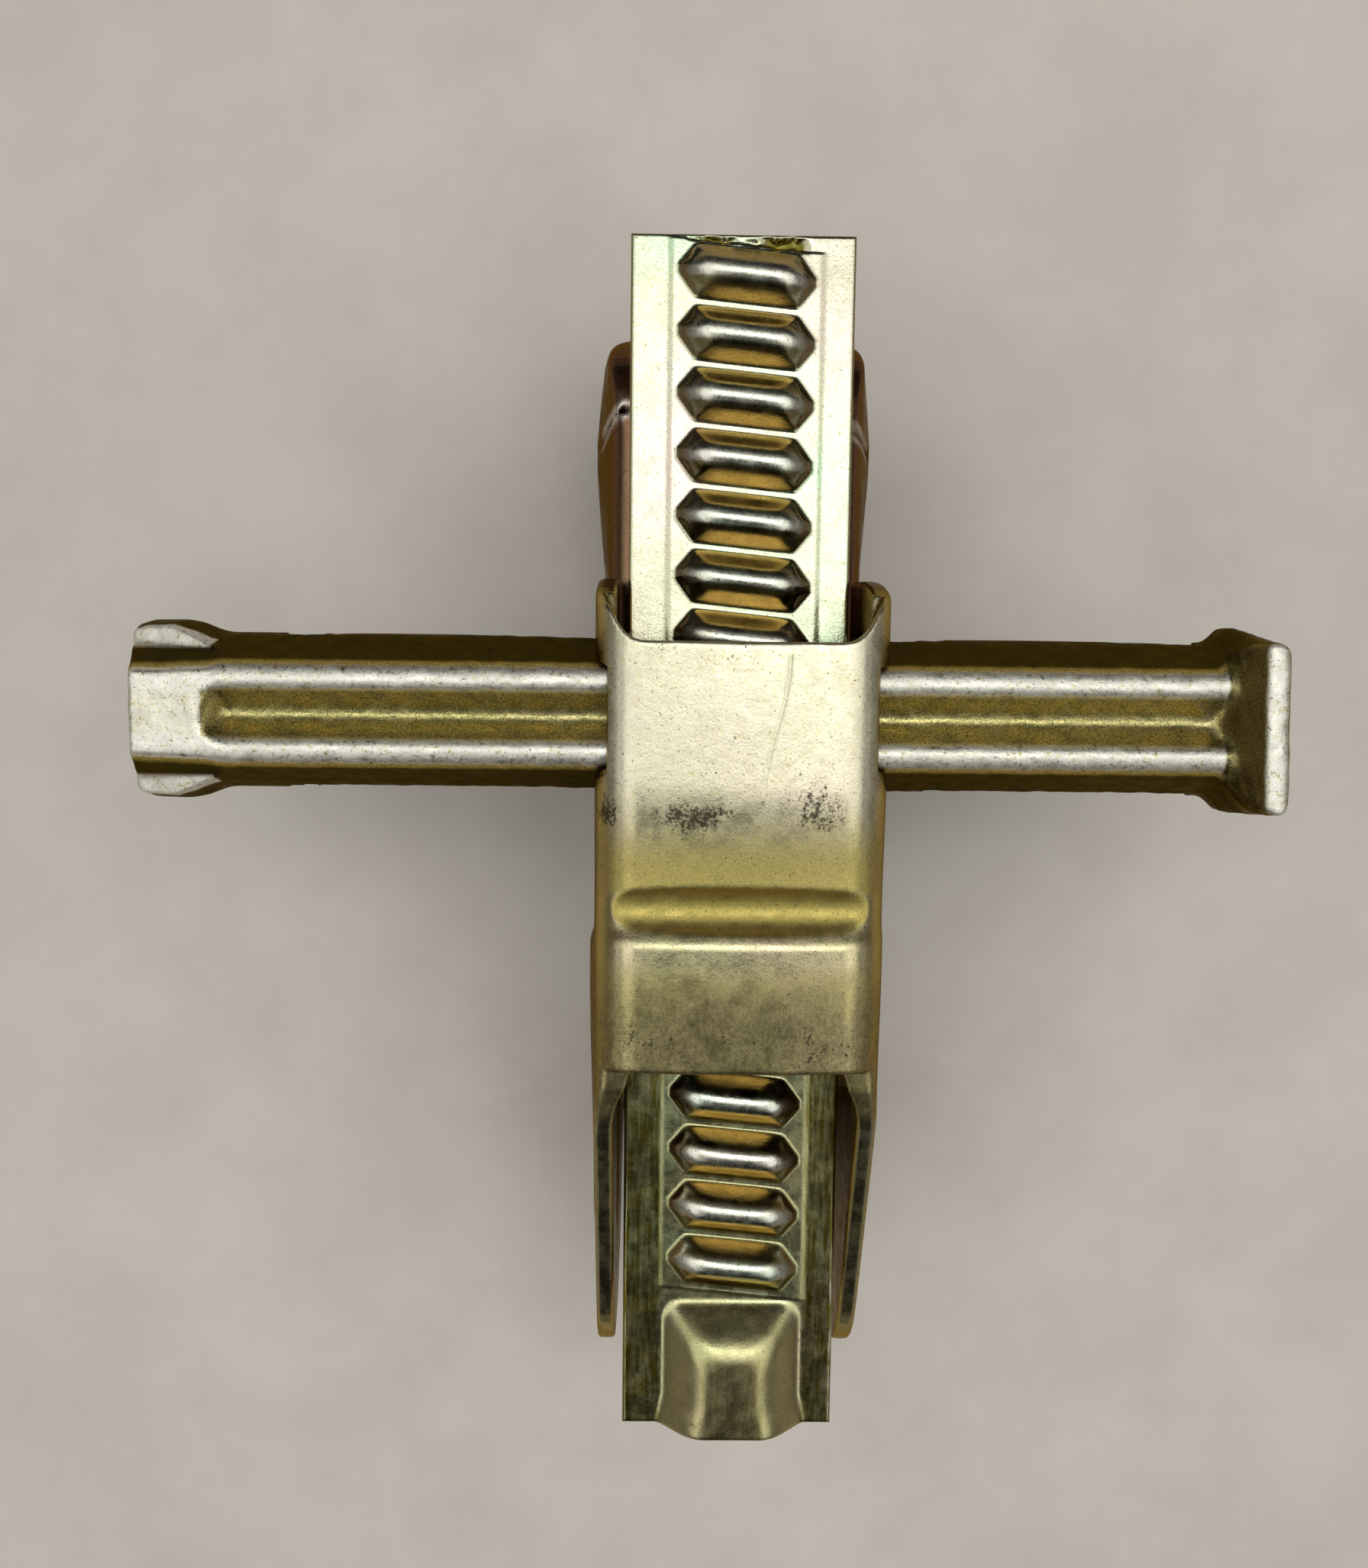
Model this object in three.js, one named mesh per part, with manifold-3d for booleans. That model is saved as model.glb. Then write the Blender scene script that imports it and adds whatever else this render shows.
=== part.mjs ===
// Adjustable formwork wedge coupler: a sleeve jaw, a toothed rack that carries the other jaw,
// and a forged wedge that runs across the rack and draws the two jaws together.
// Millimetres. X runs along the wedge (hammer head at +X), Y along the rack, Z up.
import * as THREE from 'three';
import { ConvexGeometry } from 'three/addons/geometries/ConvexGeometry.js';
import { mergeVertices } from 'three/addons/utils/BufferGeometryUtils.js';
import Module from 'manifold-3d';

// ---------- driving dimensions ----------
const sheet = 5;                  // thickness of the pressed steel sheet
const gap = 0.3;                  // gap kept between pieces that touch
const jawHalf = 36.5;             // half of the width over a jaw's cheeks
const bendRadius = 11;            // outside radius of the bends along a jaw's back

const sleeveTop = 135;            // top of the sleeve jaw above the claw tips
const backEnd = -107;             // the sleeve's back plate runs from y = 0 to here
const backEndLow = 127;           // the cheeks' edge stands at this height where the back plate ends
const earReach = 17;              // how far the cheeks run out past the back plate
const earShoulder = [17, 128];    // pull point of the curve from the back plate's edge to the ear
const earLow = 90;                // the ear's end is straight below this height
const armBend = [-183, 97];       // the cheeks' sloping edge turns down into the claws here
const clawShoulder = 73;          // top of the claws' straight outer edge
const clawHeel = 56;              // lower end of that edge
const grooveY = -66;              // centre of the groove pressed across the back plate
const grooveRadius = 8;
const grooveAxis = sleeveTop + 5;
const panelTop = 60;              // the coupler's bearing edges lie on the panel frames here
const sleeveGrip = -133.5;        // gripping face of the sleeve's claws
const rackGrip = -10.5;           // gripping face of the rack jaw's claws
const sleeveLowStart = -76;       // the sleeve's deep cheeks start here
const clawOut = -203.5;           // outermost point of the sleeve's claws
const noseReach = 7;              // how far a claw's nose stands inward
const noseHeight = 18;            // height of the nose above the claw tip
const tipLength = 22;             // flat length of a claw's tip behind its gripping face

const flangeTop = 102.3;          // top of the rack's flat flanges
const rackHalf = 28.9;            // half of the rack's width
const rackHigh = 104.1;           // the rack's jaw end
const rackLow = -215.4;           // the rack's stop end
const pitch = 15.44;              // tooth pitch
const firstTooth = 93.6;          // middle of the tooth nearest to the jaw end
const toothCount = 18;
const toothSkew = THREE.MathUtils.degToRad(5.6);
const toothRise = 5.8;            // how far the pressed teeth stand above the flanges
const toothFoot = 7;              // half of a tooth's width at the flanges
const toothCrest = 1.6;           // half of its width at the crest
const crestDrop = 1.6;            // how much lower the ends of a tooth's crest are
const rackPlay = 0.5;             // play between the rack and what guides it
const bandCentre = 0.9;           // the toothed band lies a little right of the middle
const humpRise = 9;               // height of the pressed end stop
const humpStart = -180;
const humpHalf = 18.5;            // half of its width at the flanges
const humpTopHalf = 10.5;

const wedgeLeft = -156.5;         // lower edge of the tail's sloping end
const tailTop = -150.5;           // upper edge of that end
const wedgeRight = 133.2;
const wedgeY = -18.5;             // centre line of the wedge across the rack
const wedgeBase = flangeTop + 0.5;
const wedgeTop = 128;
const wedgeBaseHalf = 20.2;
const wedgeTopHalf = 11.3;
const flankLow = wedgeBase + 3.5; // the inclined flanks start here
const wedgeEarHalf = 23.4;        // half of the width over the retaining ears at the tail
const earEnd = -132.7;            // the retaining ears end here
const headStart = 119.5;          // the hammer head starts here
const headTop = 136;
const headHalf = 25.6;            // half of the head's width at its foot
const headTopHalf = 20;
const headThick = 6.8;            // thickness of the head's top edge

const floorTop = flangeTop - sheet - rackPlay;  // the floor plate carries the rack
const channelTop = 85.3;          // top of the rack jaw's channel
const channelLow = -62;           // the channel's inner end
const channelOut = 88;            // outermost point of the channel
const channelHeel = 50;           // lower end of the channel's outer wall above the claws

const swellLow = 46;              // the cheeks bulge out from this height up
const weldLeg = 4;
const plateThick = 6;             // thickness of the claws' face plates
const clawPlateLow = 12;
const clawPlateHigh = 56;

// ---------- materials ----------
const zincPlate = new THREE.MeshStandardMaterial({ color: 0xb9ab78, roughness: 0.38, metalness: 0.95 });
const zincRack = new THREE.MeshStandardMaterial({ color: 0xc6c69a, roughness: 0.33, metalness: 0.95 });
const zincForged = new THREE.MeshStandardMaterial({ color: 0xa3925a, roughness: 0.42, metalness: 0.95 });
const zincBronze = new THREE.MeshStandardMaterial({ color: 0x8f7040, roughness: 0.45, metalness: 0.95 });
const weldMetal = new THREE.MeshStandardMaterial({ color: 0x8c7f55, roughness: 0.55, metalness: 0.9 });

// ---------- solids ----------
const wasm = await Module();
wasm.setup();

function solid(geometry) {
  const bare = geometry.index ? geometry.clone() : geometry;
  bare.deleteAttribute('normal');
  bare.deleteAttribute('uv');
  const merged = mergeVertices(bare, 1e-4);
  const mesh = new wasm.Mesh({
    numProp: 3,
    vertProperties: new Float32Array(merged.attributes.position.array),
    triVerts: new Uint32Array(merged.index.array),
  });
  return new wasm.Manifold(mesh);
}

function shapeOf(points) {
  return new THREE.Shape(points.map(([u, v]) => new THREE.Vector2(u, v)));
}

function extruded(shape, depth, xAxis, yAxis, zAxis, origin) {
  const geometry = new THREE.ExtrudeGeometry(shape, { depth, bevelEnabled: false, curveSegments: 6 });
  const turn = new THREE.Matrix4().makeBasis(xAxis, yAxis, zAxis).setPosition(origin);
  return solid(geometry.applyMatrix4(turn));
}

const X = new THREE.Vector3(1, 0, 0);
const Y = new THREE.Vector3(0, 1, 0);
const Z = new THREE.Vector3(0, 0, 1);

// An outline in (y, z) swept from x = low to x = high.
function alongX(shape, low, high) {
  return extruded(shape, high - low, Y, Z, X, new THREE.Vector3(low, 0, 0));
}

// An outline in (x, z) swept from y = low to y = high.
function alongY(shape, low, high) {
  return extruded(shape, high - low, X, Z, Y.clone().negate(), new THREE.Vector3(0, high, 0));
}

// An outline in (x, y) swept from z = low to z = high.
function alongZ(shape, low, high) {
  return extruded(shape, high - low, X, Y, Z, new THREE.Vector3(0, 0, low));
}

function block(x0, x1, y0, y1, z0, z1) {
  return alongZ(shapeOf([[x0, y0], [x1, y0], [x1, y1], [x0, y1]]), z0, z1);
}

function hull(points) {
  return solid(new ConvexGeometry(points.map(([x, y, z]) => new THREE.Vector3(x, y, z))));
}

function rodAlongX(radius, x0, x1, y, z, sides = 40) {
  const geometry = new THREE.CylinderGeometry(radius, radius, x1 - x0, sides);
  geometry.rotateZ(Math.PI / 2).translate((x0 + x1) / 2, y, z);
  return solid(geometry);
}

function joined(first, ...others) {
  return others.reduce((sum, next) => sum.add(next), first);
}

function mirrored(points) {
  return points.map(([x, ...rest]) => [-x, ...rest]);
}

// ---------- pressed channel section, open below ----------
function channelShape(half, top, radius, bottom) {
  const shape = new THREE.Shape();
  shape.moveTo(-half, bottom);
  shape.lineTo(half, bottom);
  shape.lineTo(half, top - radius);
  shape.absarc(half - radius, top - radius, radius, 0, Math.PI / 2, false);
  shape.lineTo(-half + radius, top);
  shape.absarc(-half + radius, top - radius, radius, Math.PI / 2, Math.PI, false);
  return shape;
}

// ---------- claws ----------
// Adds a claw to a jaw's side outline: down its gripping face, round the nose, along the tip and
// up the outside to the shoulder. side is +1 where the claw lies on the +Y side of that face.
function addClaw(shape, face, side, outer, shoulder) {
  shape.lineTo(face, panelTop);
  shape.lineTo(face, noseHeight);
  shape.lineTo(face - side * noseReach, noseHeight - 5);
  shape.lineTo(face - side * noseReach, 5);
  shape.lineTo(face - side * (noseReach - 4), 0);
  shape.lineTo(face + side * tipLength, 0);
  shape.quadraticCurveTo(outer - side * 8, 12, outer, shoulder);
}

// ---------- sleeve jaw ----------
function sleeveSide() {
  const cheekLow = channelTop + 0.5;
  const corner = 4;
  const shape = new THREE.Shape();
  shape.moveTo(0, sleeveTop);
  shape.quadraticCurveTo(...earShoulder, earReach, earLow);
  shape.lineTo(earReach, cheekLow);
  shape.lineTo(sleeveLowStart + corner, cheekLow);
  shape.quadraticCurveTo(sleeveLowStart, cheekLow, sleeveLowStart, cheekLow - corner);
  shape.lineTo(sleeveLowStart, panelTop);
  addClaw(shape, sleeveGrip, -1, clawOut, clawHeel);
  shape.lineTo(clawOut, clawShoulder);
  shape.quadraticCurveTo(clawOut, clawShoulder + 15, ...armBend);
  shape.lineTo(backEnd - 6, backEndLow - 1);
  shape.lineTo(backEnd, backEndLow);
  shape.lineTo(backEnd, sleeveTop);
  return shape;
}

// The long outward pressing low on a cheek, as a plan outline on the +X side.
function cheekSwell(plan, low, high) {
  const right = alongZ(shapeOf(plan), low, high);
  const left = alongZ(shapeOf(mirrored(plan).reverse()), low, high);
  return joined(right, left);
}

// The opening for the wedge in both cheeks, a little larger than the wedge.
function wedgeWindow() {
  const clear = 1;
  const low = wedgeBaseHalf + clear;
  const high = wedgeTopHalf + clear;
  return alongX(shapeOf([
    [wedgeY - low, wedgeBase - clear], [wedgeY + low, wedgeBase - clear],
    [wedgeY + low, flankLow + clear / 2], [wedgeY + high, wedgeTop + clear],
    [wedgeY - high, wedgeTop + clear], [wedgeY - low, flankLow + clear / 2],
  ]), -jawHalf - 10, jawHalf + 10);
}

function sleeveShell() {
  const outer = alongY(channelShape(jawHalf, sleeveTop, bendRadius, -1), clawOut - 5, earReach + 5);
  const hollow = channelShape(jawHalf - sheet, sleeveTop - sheet, bendRadius - sheet, -5);
  const inner = alongY(hollow, clawOut - 9, earReach + 9);
  const ribHalf = jawHalf - 2;
  const innerRib = rodAlongX(grooveRadius + sheet - 0.5, -ribHalf, ribHalf, grooveY, grooveAxis)
    .intersect(block(-ribHalf, ribHalf, grooveY - 20, grooveY + 20, sleeveTop - 15, sleeveTop - 2));
  const groove = rodAlongX(grooveRadius, -jawHalf - 5, jawHalf + 5, grooveY, grooveAxis);
  const flatHalf = jawHalf - bendRadius;
  const plateEnd = block(-flatHalf, flatHalf, 0, earReach, sleeveTop - 2 * sheet, sleeveTop + 1);
  const swell = cheekSwell([
    [jawHalf - 2, -190], [jawHalf + 0.1, -190], [38.2, -184], [40.1, -145], [40.3, -96],
    [39.8, -86], [jawHalf + 0.1, -78], [jawHalf - 2, -78],
  ], swellLow, 76).intersect(alongX(sleeveSide(), -jawHalf - 9, jawHalf + 9));
  return outer.subtract(inner).intersect(alongX(sleeveSide(), -jawHalf - 1, jawHalf + 1))
    .add(innerRib).subtract(joined(groove, plateEnd)).subtract(wedgeWindow()).add(swell);
}

// ---------- rack ----------
// A point at distance u along the tooth through (bandCentre, y) and v across it, turned by the skew.
function onTooth(u, v, y, z) {
  const along = Math.cos(toothSkew);
  const aside = Math.sin(toothSkew);
  return [bandCentre + u * along + v * aside, y - u * aside + v * along, z];
}

// A long hexagon with nearly pointed ends, centred on zero.
function hexagon(tip, shoulder, side, tipHalf) {
  const upper = [[-tip, tipHalf], [-shoulder, side], [shoulder, side], [tip, tipHalf]];
  return [...upper, ...upper.map(([u, v]) => [u, -v])];
}

// A hull between two hexagons lying across the rack at (bandCentre, y).
function toothHull(y, foot, footZ, crest, crestZ) {
  return hull([
    ...foot.map(([u, v]) => onTooth(u, v, y, footZ)),
    ...crest.map(([u, v]) => onTooth(u, v, y, crestZ)),
  ]);
}

function tooth(y) {
  const foot = hexagon(18.4, 13.6, toothFoot, 0.8);
  const crestEnds = hexagon(14.2, 12, toothCrest, 0.6);
  const crest = hexagon(7.5, 7, toothCrest, toothCrest);
  const top = flangeTop + toothRise;
  return toothHull(y, foot, flangeTop - 1, foot, flangeTop)
    .add(toothHull(y, foot, flangeTop, crestEnds, top - crestDrop))
    .add(toothHull(y, crestEnds, top - crestDrop - 1, crest, top));
}

// The dent that pressing a tooth leaves in the strap's underside.
function toothDent(y) {
  const low = flangeTop - sheet;
  return toothHull(y, hexagon(14, 11, 3.4, 0.8), low - 1, hexagon(11.2, 9.8, 0.8, 0.4), low + 3.6);
}

// The pressed end stop, or its hollow when shrunk by the sheet thickness.
function humpSolid(shrink, end) {
  const topStart = humpStart - 10 - shrink;
  const low = flangeTop - shrink - (shrink ? 3 : sheet);
  const points = [];
  for (const side of [-1, 1]) {
    const foot = bandCentre + side * (humpHalf - shrink);
    const crown = bandCentre + side * (humpTopHalf - shrink * 0.6);
    for (const z of [flangeTop - shrink, low]) {
      points.push([foot, humpStart - shrink, z], [foot, end, z]);
    }
    for (const y of [topStart, end]) points.push([crown, y, flangeTop + humpRise - shrink]);
  }
  return hull(points);
}

function rackStrap() {
  let strap = block(-rackHalf, rackHalf, rackLow, rackHigh, flangeTop - sheet, flangeTop);
  for (let k = 0; k < toothCount; k += 1) {
    const toothY = firstTooth - k * pitch;
    strap = strap.add(tooth(toothY)).subtract(toothDent(toothY));
  }
  return strap.add(humpSolid(0, rackLow)).subtract(humpSolid(sheet, rackLow - 10));
}

// ---------- rack jaw ----------
// Ends a channel outline: up the outer wall and over the shoulder to the channel's top.
function addChannelShoulder(shape, shrink) {
  const out = channelOut - shrink;
  const top = channelTop - shrink;
  const ease = shrink * 0.6;
  shape.quadraticCurveTo(out, 72 - ease, 72 - ease, 80 - shrink);
  shape.quadraticCurveTo(64, top, 54 - shrink, top);
  return shape;
}

function channelSide() {
  const shape = new THREE.Shape();
  shape.moveTo(channelLow, channelTop);
  shape.lineTo(channelLow, panelTop);
  addClaw(shape, rackGrip, 1, channelOut, channelHeel);
  return addChannelShoulder(shape, 0);
}

function channelHollowSide() {
  const past = 20;
  const shape = new THREE.Shape();
  shape.moveTo(channelLow - past, channelTop - sheet);
  shape.lineTo(channelLow - past, -past);
  shape.lineTo(channelOut - sheet, -past);
  shape.lineTo(channelOut - sheet, channelHeel);
  return addChannelShoulder(shape, sheet);
}

function channelPlan(half, out, radius) {
  const shape = new THREE.Shape();
  shape.moveTo(-half, channelLow - 25);
  shape.lineTo(half, channelLow - 25);
  shape.lineTo(half, out - radius);
  shape.absarc(half - radius, out - radius, radius, 0, Math.PI / 2, false);
  shape.lineTo(-half + radius, out);
  shape.absarc(-half + radius, out - radius, radius, Math.PI / 2, Math.PI, false);
  return shape;
}

function rackJawShell() {
  const cornerRadius = 11;
  const outerSection = channelShape(jawHalf, channelTop, bendRadius, -1);
  const innerSection = channelShape(jawHalf - sheet, channelTop - sheet, bendRadius - sheet, -5);
  const outerPlan = channelPlan(jawHalf, channelOut, cornerRadius);
  const innerPlan = channelPlan(jawHalf - sheet, channelOut - sheet, cornerRadius - 4);
  const outer = alongY(outerSection, channelLow, channelOut + 5)
    .intersect(alongX(channelSide(), -jawHalf - 1, jawHalf + 1))
    .intersect(alongZ(outerPlan, -2, channelTop + 2));
  const inner = alongY(innerSection, channelLow - 10, channelOut + 4)
    .intersect(alongX(channelHollowSide(), -jawHalf, jawHalf))
    .intersect(alongZ(innerPlan, -30, channelTop + 2));
  const swell = cheekSwell([
    [jawHalf - 2, 12], [jawHalf + 0.1, 12], [38.3, 30], [39.8, 48], [40.2, 57],
    [38.6, 68], [37.6, 76], [jawHalf - 2, 80],
  ], swellLow, 74);
  return outer.subtract(inner).add(swell);
}

// ---------- wedge ----------
function wedgeBody() {
  const bevel = 1;
  return alongX(shapeOf([
    [wedgeY - wedgeBaseHalf, wedgeBase],
    [wedgeY + wedgeBaseHalf, wedgeBase],
    [wedgeY + wedgeBaseHalf, flankLow],
    [wedgeY + wedgeTopHalf + bevel, wedgeTop - 1.5],
    [wedgeY + wedgeTopHalf - bevel, wedgeTop],
    [wedgeY - wedgeTopHalf + bevel, wedgeTop],
    [wedgeY - wedgeTopHalf - bevel, wedgeTop - 1.5],
    [wedgeY - wedgeBaseHalf, flankLow],
  ]), wedgeLeft, wedgeRight - 6);
}

// The two ears at the tail that keep the wedge in the sleeve's windows.
function wedgeEars() {
  const foot = wedgeBase + 1;
  const ledge = 114.5;
  const runOut = 118;
  const corners = [];
  for (const side of [-1, 1]) {
    const add = (x, half, z) => corners.push([x, wedgeY + side * half, z]);
    add(wedgeLeft, wedgeEarHalf - 3.5, foot);
    add(wedgeLeft + 4, wedgeEarHalf, foot);
    add(earEnd - 5, wedgeEarHalf, foot);
    add(earEnd, wedgeBaseHalf, foot);
    add(wedgeLeft, wedgeEarHalf - 5.5, ledge);
    add(wedgeLeft + 4, wedgeEarHalf - 2.4, ledge);
    add(earEnd - 6, wedgeEarHalf - 2.6, ledge + 1);
    add(earEnd + 4, 15.6, runOut);
  }
  return hull(corners);
}

function wedgeHead() {
  const foot = wedgeBase + 1;
  const waist = 112;
  const topStart = wedgeRight - headThick;
  const corners = [];
  for (const side of [-1, 1]) {
    const add = (x, half, z) => corners.push([x, wedgeY + side * half, z]);
    add(headStart, wedgeBaseHalf, wedgeBase);
    add(headStart, wedgeBaseHalf - 1.2, waist);
    add(headStart + 5, headHalf, foot);
    add(headStart + 5, headHalf - 0.6, waist);
    add(headStart + 9, headHalf, foot);
    add(headStart + 9, headHalf - 0.6, waist);
    add(headStart + 0.5, wedgeTopHalf + 0.7, wedgeTop - 1.5);
    add(topStart, headTopHalf - 1, headTop);
    add(wedgeRight - 1, headTopHalf - 1, headTop);
    add(topStart, headTopHalf, headTop - 2);
    add(wedgeRight, headTopHalf - 1, headTop - 2);
    add(wedgeRight, headTopHalf, wedgeBase + 4);
    add(wedgeRight - 2, headTopHalf + 1, foot);
  }
  return hull(corners);
}

// Everything on the inner side of the tail's sloping end.
function behindTail() {
  return alongY(shapeOf([
    [wedgeLeft, wedgeBase - 1], [wedgeRight + 1, wedgeBase - 1], [wedgeRight + 1, headTop + 1],
    [tailTop, headTop + 1], [tailTop, wedgeTop], [wedgeLeft, wedgeBase + 2],
  ]), wedgeY - headHalf - 1, wedgeY + headHalf + 1);
}

// Slanted grooves in the underside that the rack's teeth run in.
function wedgeGrooves() {
  const reach = 118;
  const low = wedgeBase - 1;
  const crestZ = flangeTop + toothRise;
  const slope = (toothFoot - toothCrest) / toothRise;
  const side = 0.7;
  const floorHalf = toothCrest + side - slope * rackPlay;
  const mouth = toothCrest + side + slope * (crestZ - low);
  const firstUnder = 5;
  const lastUnder = 9;
  const grooves = [];
  for (let k = firstUnder; k <= lastUnder; k += 1) {
    const toothY = firstTooth - k * pitch;
    const points = [];
    for (const end of [-reach, reach]) {
      for (const sign of [-1, 1]) {
        points.push(onTooth(end, sign * mouth, toothY, low));
        points.push(onTooth(end, sign * floorHalf, toothY, crestZ + rackPlay));
      }
    }
    grooves.push(hull(points));
  }
  return grooves;
}

function wedge() {
  const radius = 6.5;
  const start = -134 + radius;
  const axis = wedgeTop + 1.5;
  const topGroove = rodAlongX(radius, start, headStart + 1, wedgeY, axis, 24);
  const ball = new THREE.SphereGeometry(radius, 24, 12).rotateZ(Math.PI / 2).translate(start, wedgeY, axis);
  let forging = joined(wedgeBody(), wedgeEars(), wedgeHead()).intersect(behindTail());
  forging = forging.subtract(joined(topGroove, solid(ball)));
  wedgeGrooves().forEach((groove) => { forging = forging.subtract(groove); });
  return forging;
}

// ---------- plates and welds inside the jaws ----------
function innerPlate(y0, y1, z0, z1) {
  const half = jawHalf - sheet - gap;
  return block(-half, half, y0, y1, z0, z1);
}

// A fillet bead in the corner between an upright face at side * face and a flat one at plateZ.
// It fills the corner on the side of the flat face that away points to, +1 for above it.
function beadAlongY(side, y0, y1, plateZ, away, leg, face) {
  const corner = side * (face - gap);
  const foot = plateZ + away * gap;
  return alongY(shapeOf([[corner, foot], [corner, foot + away * leg], [corner - side * leg, foot]]), y0, y1);
}

// An upright fillet bead in the corner between a cheek and a face plate.
function beadAlongZ(side, plateFace, away, z0, z1, leg) {
  const corner = side * (jawHalf - sheet - gap);
  const y = plateFace + away * gap;
  return alongZ(shapeOf([[corner, y], [corner - side * leg, y], [corner, y + away * leg]]), z0, z1);
}

// ---------- assembly ----------
function mesh(name, body, material) {
  const data = body.getMesh();
  const geometry = new THREE.BufferGeometry();
  geometry.setAttribute('position', new THREE.BufferAttribute(new Float32Array(data.vertProperties), 3));
  geometry.setIndex(new THREE.BufferAttribute(new Uint32Array(data.triVerts), 1));
  geometry.computeVertexNormals();
  const made = new THREE.Mesh(geometry, material);
  made.name = name;
  return made;
}

const wall = jawHalf - sheet;
const floorLow = floorTop - sheet;
const floorPlate = [-60, -3];
const floorBead = [-56, -7];
const clawBead = [15, 53];
const sleevePlateBack = sleeveGrip - plateThick - gap;
const sleeveJaw = new THREE.Group();
sleeveJaw.add(
  mesh('sleeve_shell', sleeveShell(), zincPlate),
  mesh('sleeve_floor_plate', innerPlate(...floorPlate, floorLow, floorTop), zincPlate),
  mesh('sleeve_claw_plate',
    innerPlate(sleevePlateBack, sleeveGrip - gap, clawPlateLow, clawPlateHigh), zincPlate),
  mesh('floor_weld_left', beadAlongY(-1, ...floorBead, floorLow, -1, weldLeg, wall), weldMetal),
  mesh('floor_weld_right', beadAlongY(1, ...floorBead, floorLow, -1, weldLeg, wall), weldMetal),
  mesh('sleeve_claw_weld_left', beadAlongZ(-1, sleevePlateBack, -1, ...clawBead, weldLeg), weldMetal),
  mesh('sleeve_claw_weld_right', beadAlongZ(1, sleevePlateBack, -1, ...clawBead, weldLeg), weldMetal),
);

const spacerHalf = 24;
const spacerLow = 24;
const spacerHigh = 52;
const rackUnder = flangeTop - sheet;
const spacerBead = [spacerLow + 2, spacerHigh - 2];
const spacerLeg = 3.6;
const rackPlateBack = rackGrip + plateThick + gap;
const spacer = block(-spacerHalf, spacerHalf, spacerLow, spacerHigh, channelTop + gap, rackUnder - gap);
const rackJaw = new THREE.Group();
rackJaw.add(
  mesh('rack_strap', rackStrap(), zincRack),
  mesh('rack_jaw_shell', rackJawShell(), zincBronze),
  mesh('rack_spacer', spacer, zincBronze),
  mesh('spacer_weld_left', beadAlongY(1, ...spacerBead, channelTop, 1, spacerLeg, -spacerHalf), weldMetal),
  mesh('spacer_weld_right', beadAlongY(-1, ...spacerBead, channelTop, 1, spacerLeg, -spacerHalf), weldMetal),
  mesh('rack_weld_left', beadAlongY(1, ...spacerBead, rackUnder, -1, spacerLeg, -spacerHalf), weldMetal),
  mesh('rack_weld_right', beadAlongY(-1, ...spacerBead, rackUnder, -1, spacerLeg, -spacerHalf), weldMetal),
  mesh('rack_claw_plate',
    innerPlate(rackGrip + gap, rackPlateBack, clawPlateLow, clawPlateHigh), zincBronze),
  mesh('rack_claw_weld_left', beadAlongZ(-1, rackPlateBack, 1, ...clawBead, weldLeg), weldMetal),
  mesh('rack_claw_weld_right', beadAlongZ(1, rackPlateBack, 1, ...clawBead, weldLeg), weldMetal),
);

// The origin is the middle of the coupler's plan outline, at the level of the claw tips.
const coupler = new THREE.Group();
coupler.add(sleeveJaw, rackJaw, mesh('wedge', wedge(), zincForged));
coupler.position.set(-(wedgeLeft + wedgeRight) / 2, -(rackLow + rackHigh) / 2, 0);

export default coupler;
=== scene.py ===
import math

import bpy
import numpy as np
from mathutils import Matrix, Vector


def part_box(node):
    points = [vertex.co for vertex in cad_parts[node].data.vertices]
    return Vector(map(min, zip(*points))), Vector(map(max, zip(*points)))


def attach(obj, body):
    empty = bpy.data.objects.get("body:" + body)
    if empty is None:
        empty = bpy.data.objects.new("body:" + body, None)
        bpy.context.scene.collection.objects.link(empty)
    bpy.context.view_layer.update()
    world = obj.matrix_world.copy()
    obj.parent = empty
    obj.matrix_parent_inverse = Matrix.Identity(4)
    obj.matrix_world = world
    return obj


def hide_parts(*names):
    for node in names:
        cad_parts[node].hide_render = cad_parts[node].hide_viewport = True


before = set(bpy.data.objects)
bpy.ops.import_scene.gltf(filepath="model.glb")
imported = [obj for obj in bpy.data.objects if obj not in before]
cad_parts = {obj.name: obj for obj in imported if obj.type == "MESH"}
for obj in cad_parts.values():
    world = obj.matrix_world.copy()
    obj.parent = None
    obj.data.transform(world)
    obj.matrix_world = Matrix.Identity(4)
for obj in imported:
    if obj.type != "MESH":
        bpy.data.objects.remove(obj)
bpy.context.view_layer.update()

# ---------- driving dimensions, in millimetres in the coupler's own axes ----------
# x = 0 is the middle of the sleeve, y = 0 the end of its back plate, z = 0 the claw tips.
MM = 0.001
EAR_REACH = 17.0
SLEEVE_LOW, SLEEVE_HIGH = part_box("sleeve_shell")
ORIGIN = Vector(((SLEEVE_LOW.x + SLEEVE_HIGH.x) / 2, SLEEVE_HIGH.y - EAR_REACH * MM, 0.0))


def node_box(node):
    """A CAD node's lowest and highest corners in millimetres in the coupler's own axes."""
    low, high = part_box(node)
    return (low - ORIGIN) / MM, (high - ORIGIN) / MM


SLEEVE_LOW, SLEEVE_HIGH = node_box("sleeve_shell")
RACK_LOW, RACK_HIGH = node_box("rack_strap")
JAW_LOW, JAW_HIGH = node_box("rack_jaw_shell")
WEDGE_LOW, WEDGE_HIGH = node_box("wedge")

SHEET = 5.0                      # thickness of the pressed sheet
JAW_HALF = 36.5                  # half of the width over a jaw's flat cheeks
BEND_RADIUS = 11.0
PANEL_TOP = 60.0                 # the bearing edges lie on the panel frames at this height
SLEEVE_GRIP = -133.5             # gripping face of the sleeve's claws
RACK_GRIP = -10.5                # gripping face of the rack jaw's claws
NOSE_REACH = 7.0
NOSE_HEIGHT = 18.0
TIP_LENGTH = 22.0

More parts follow.
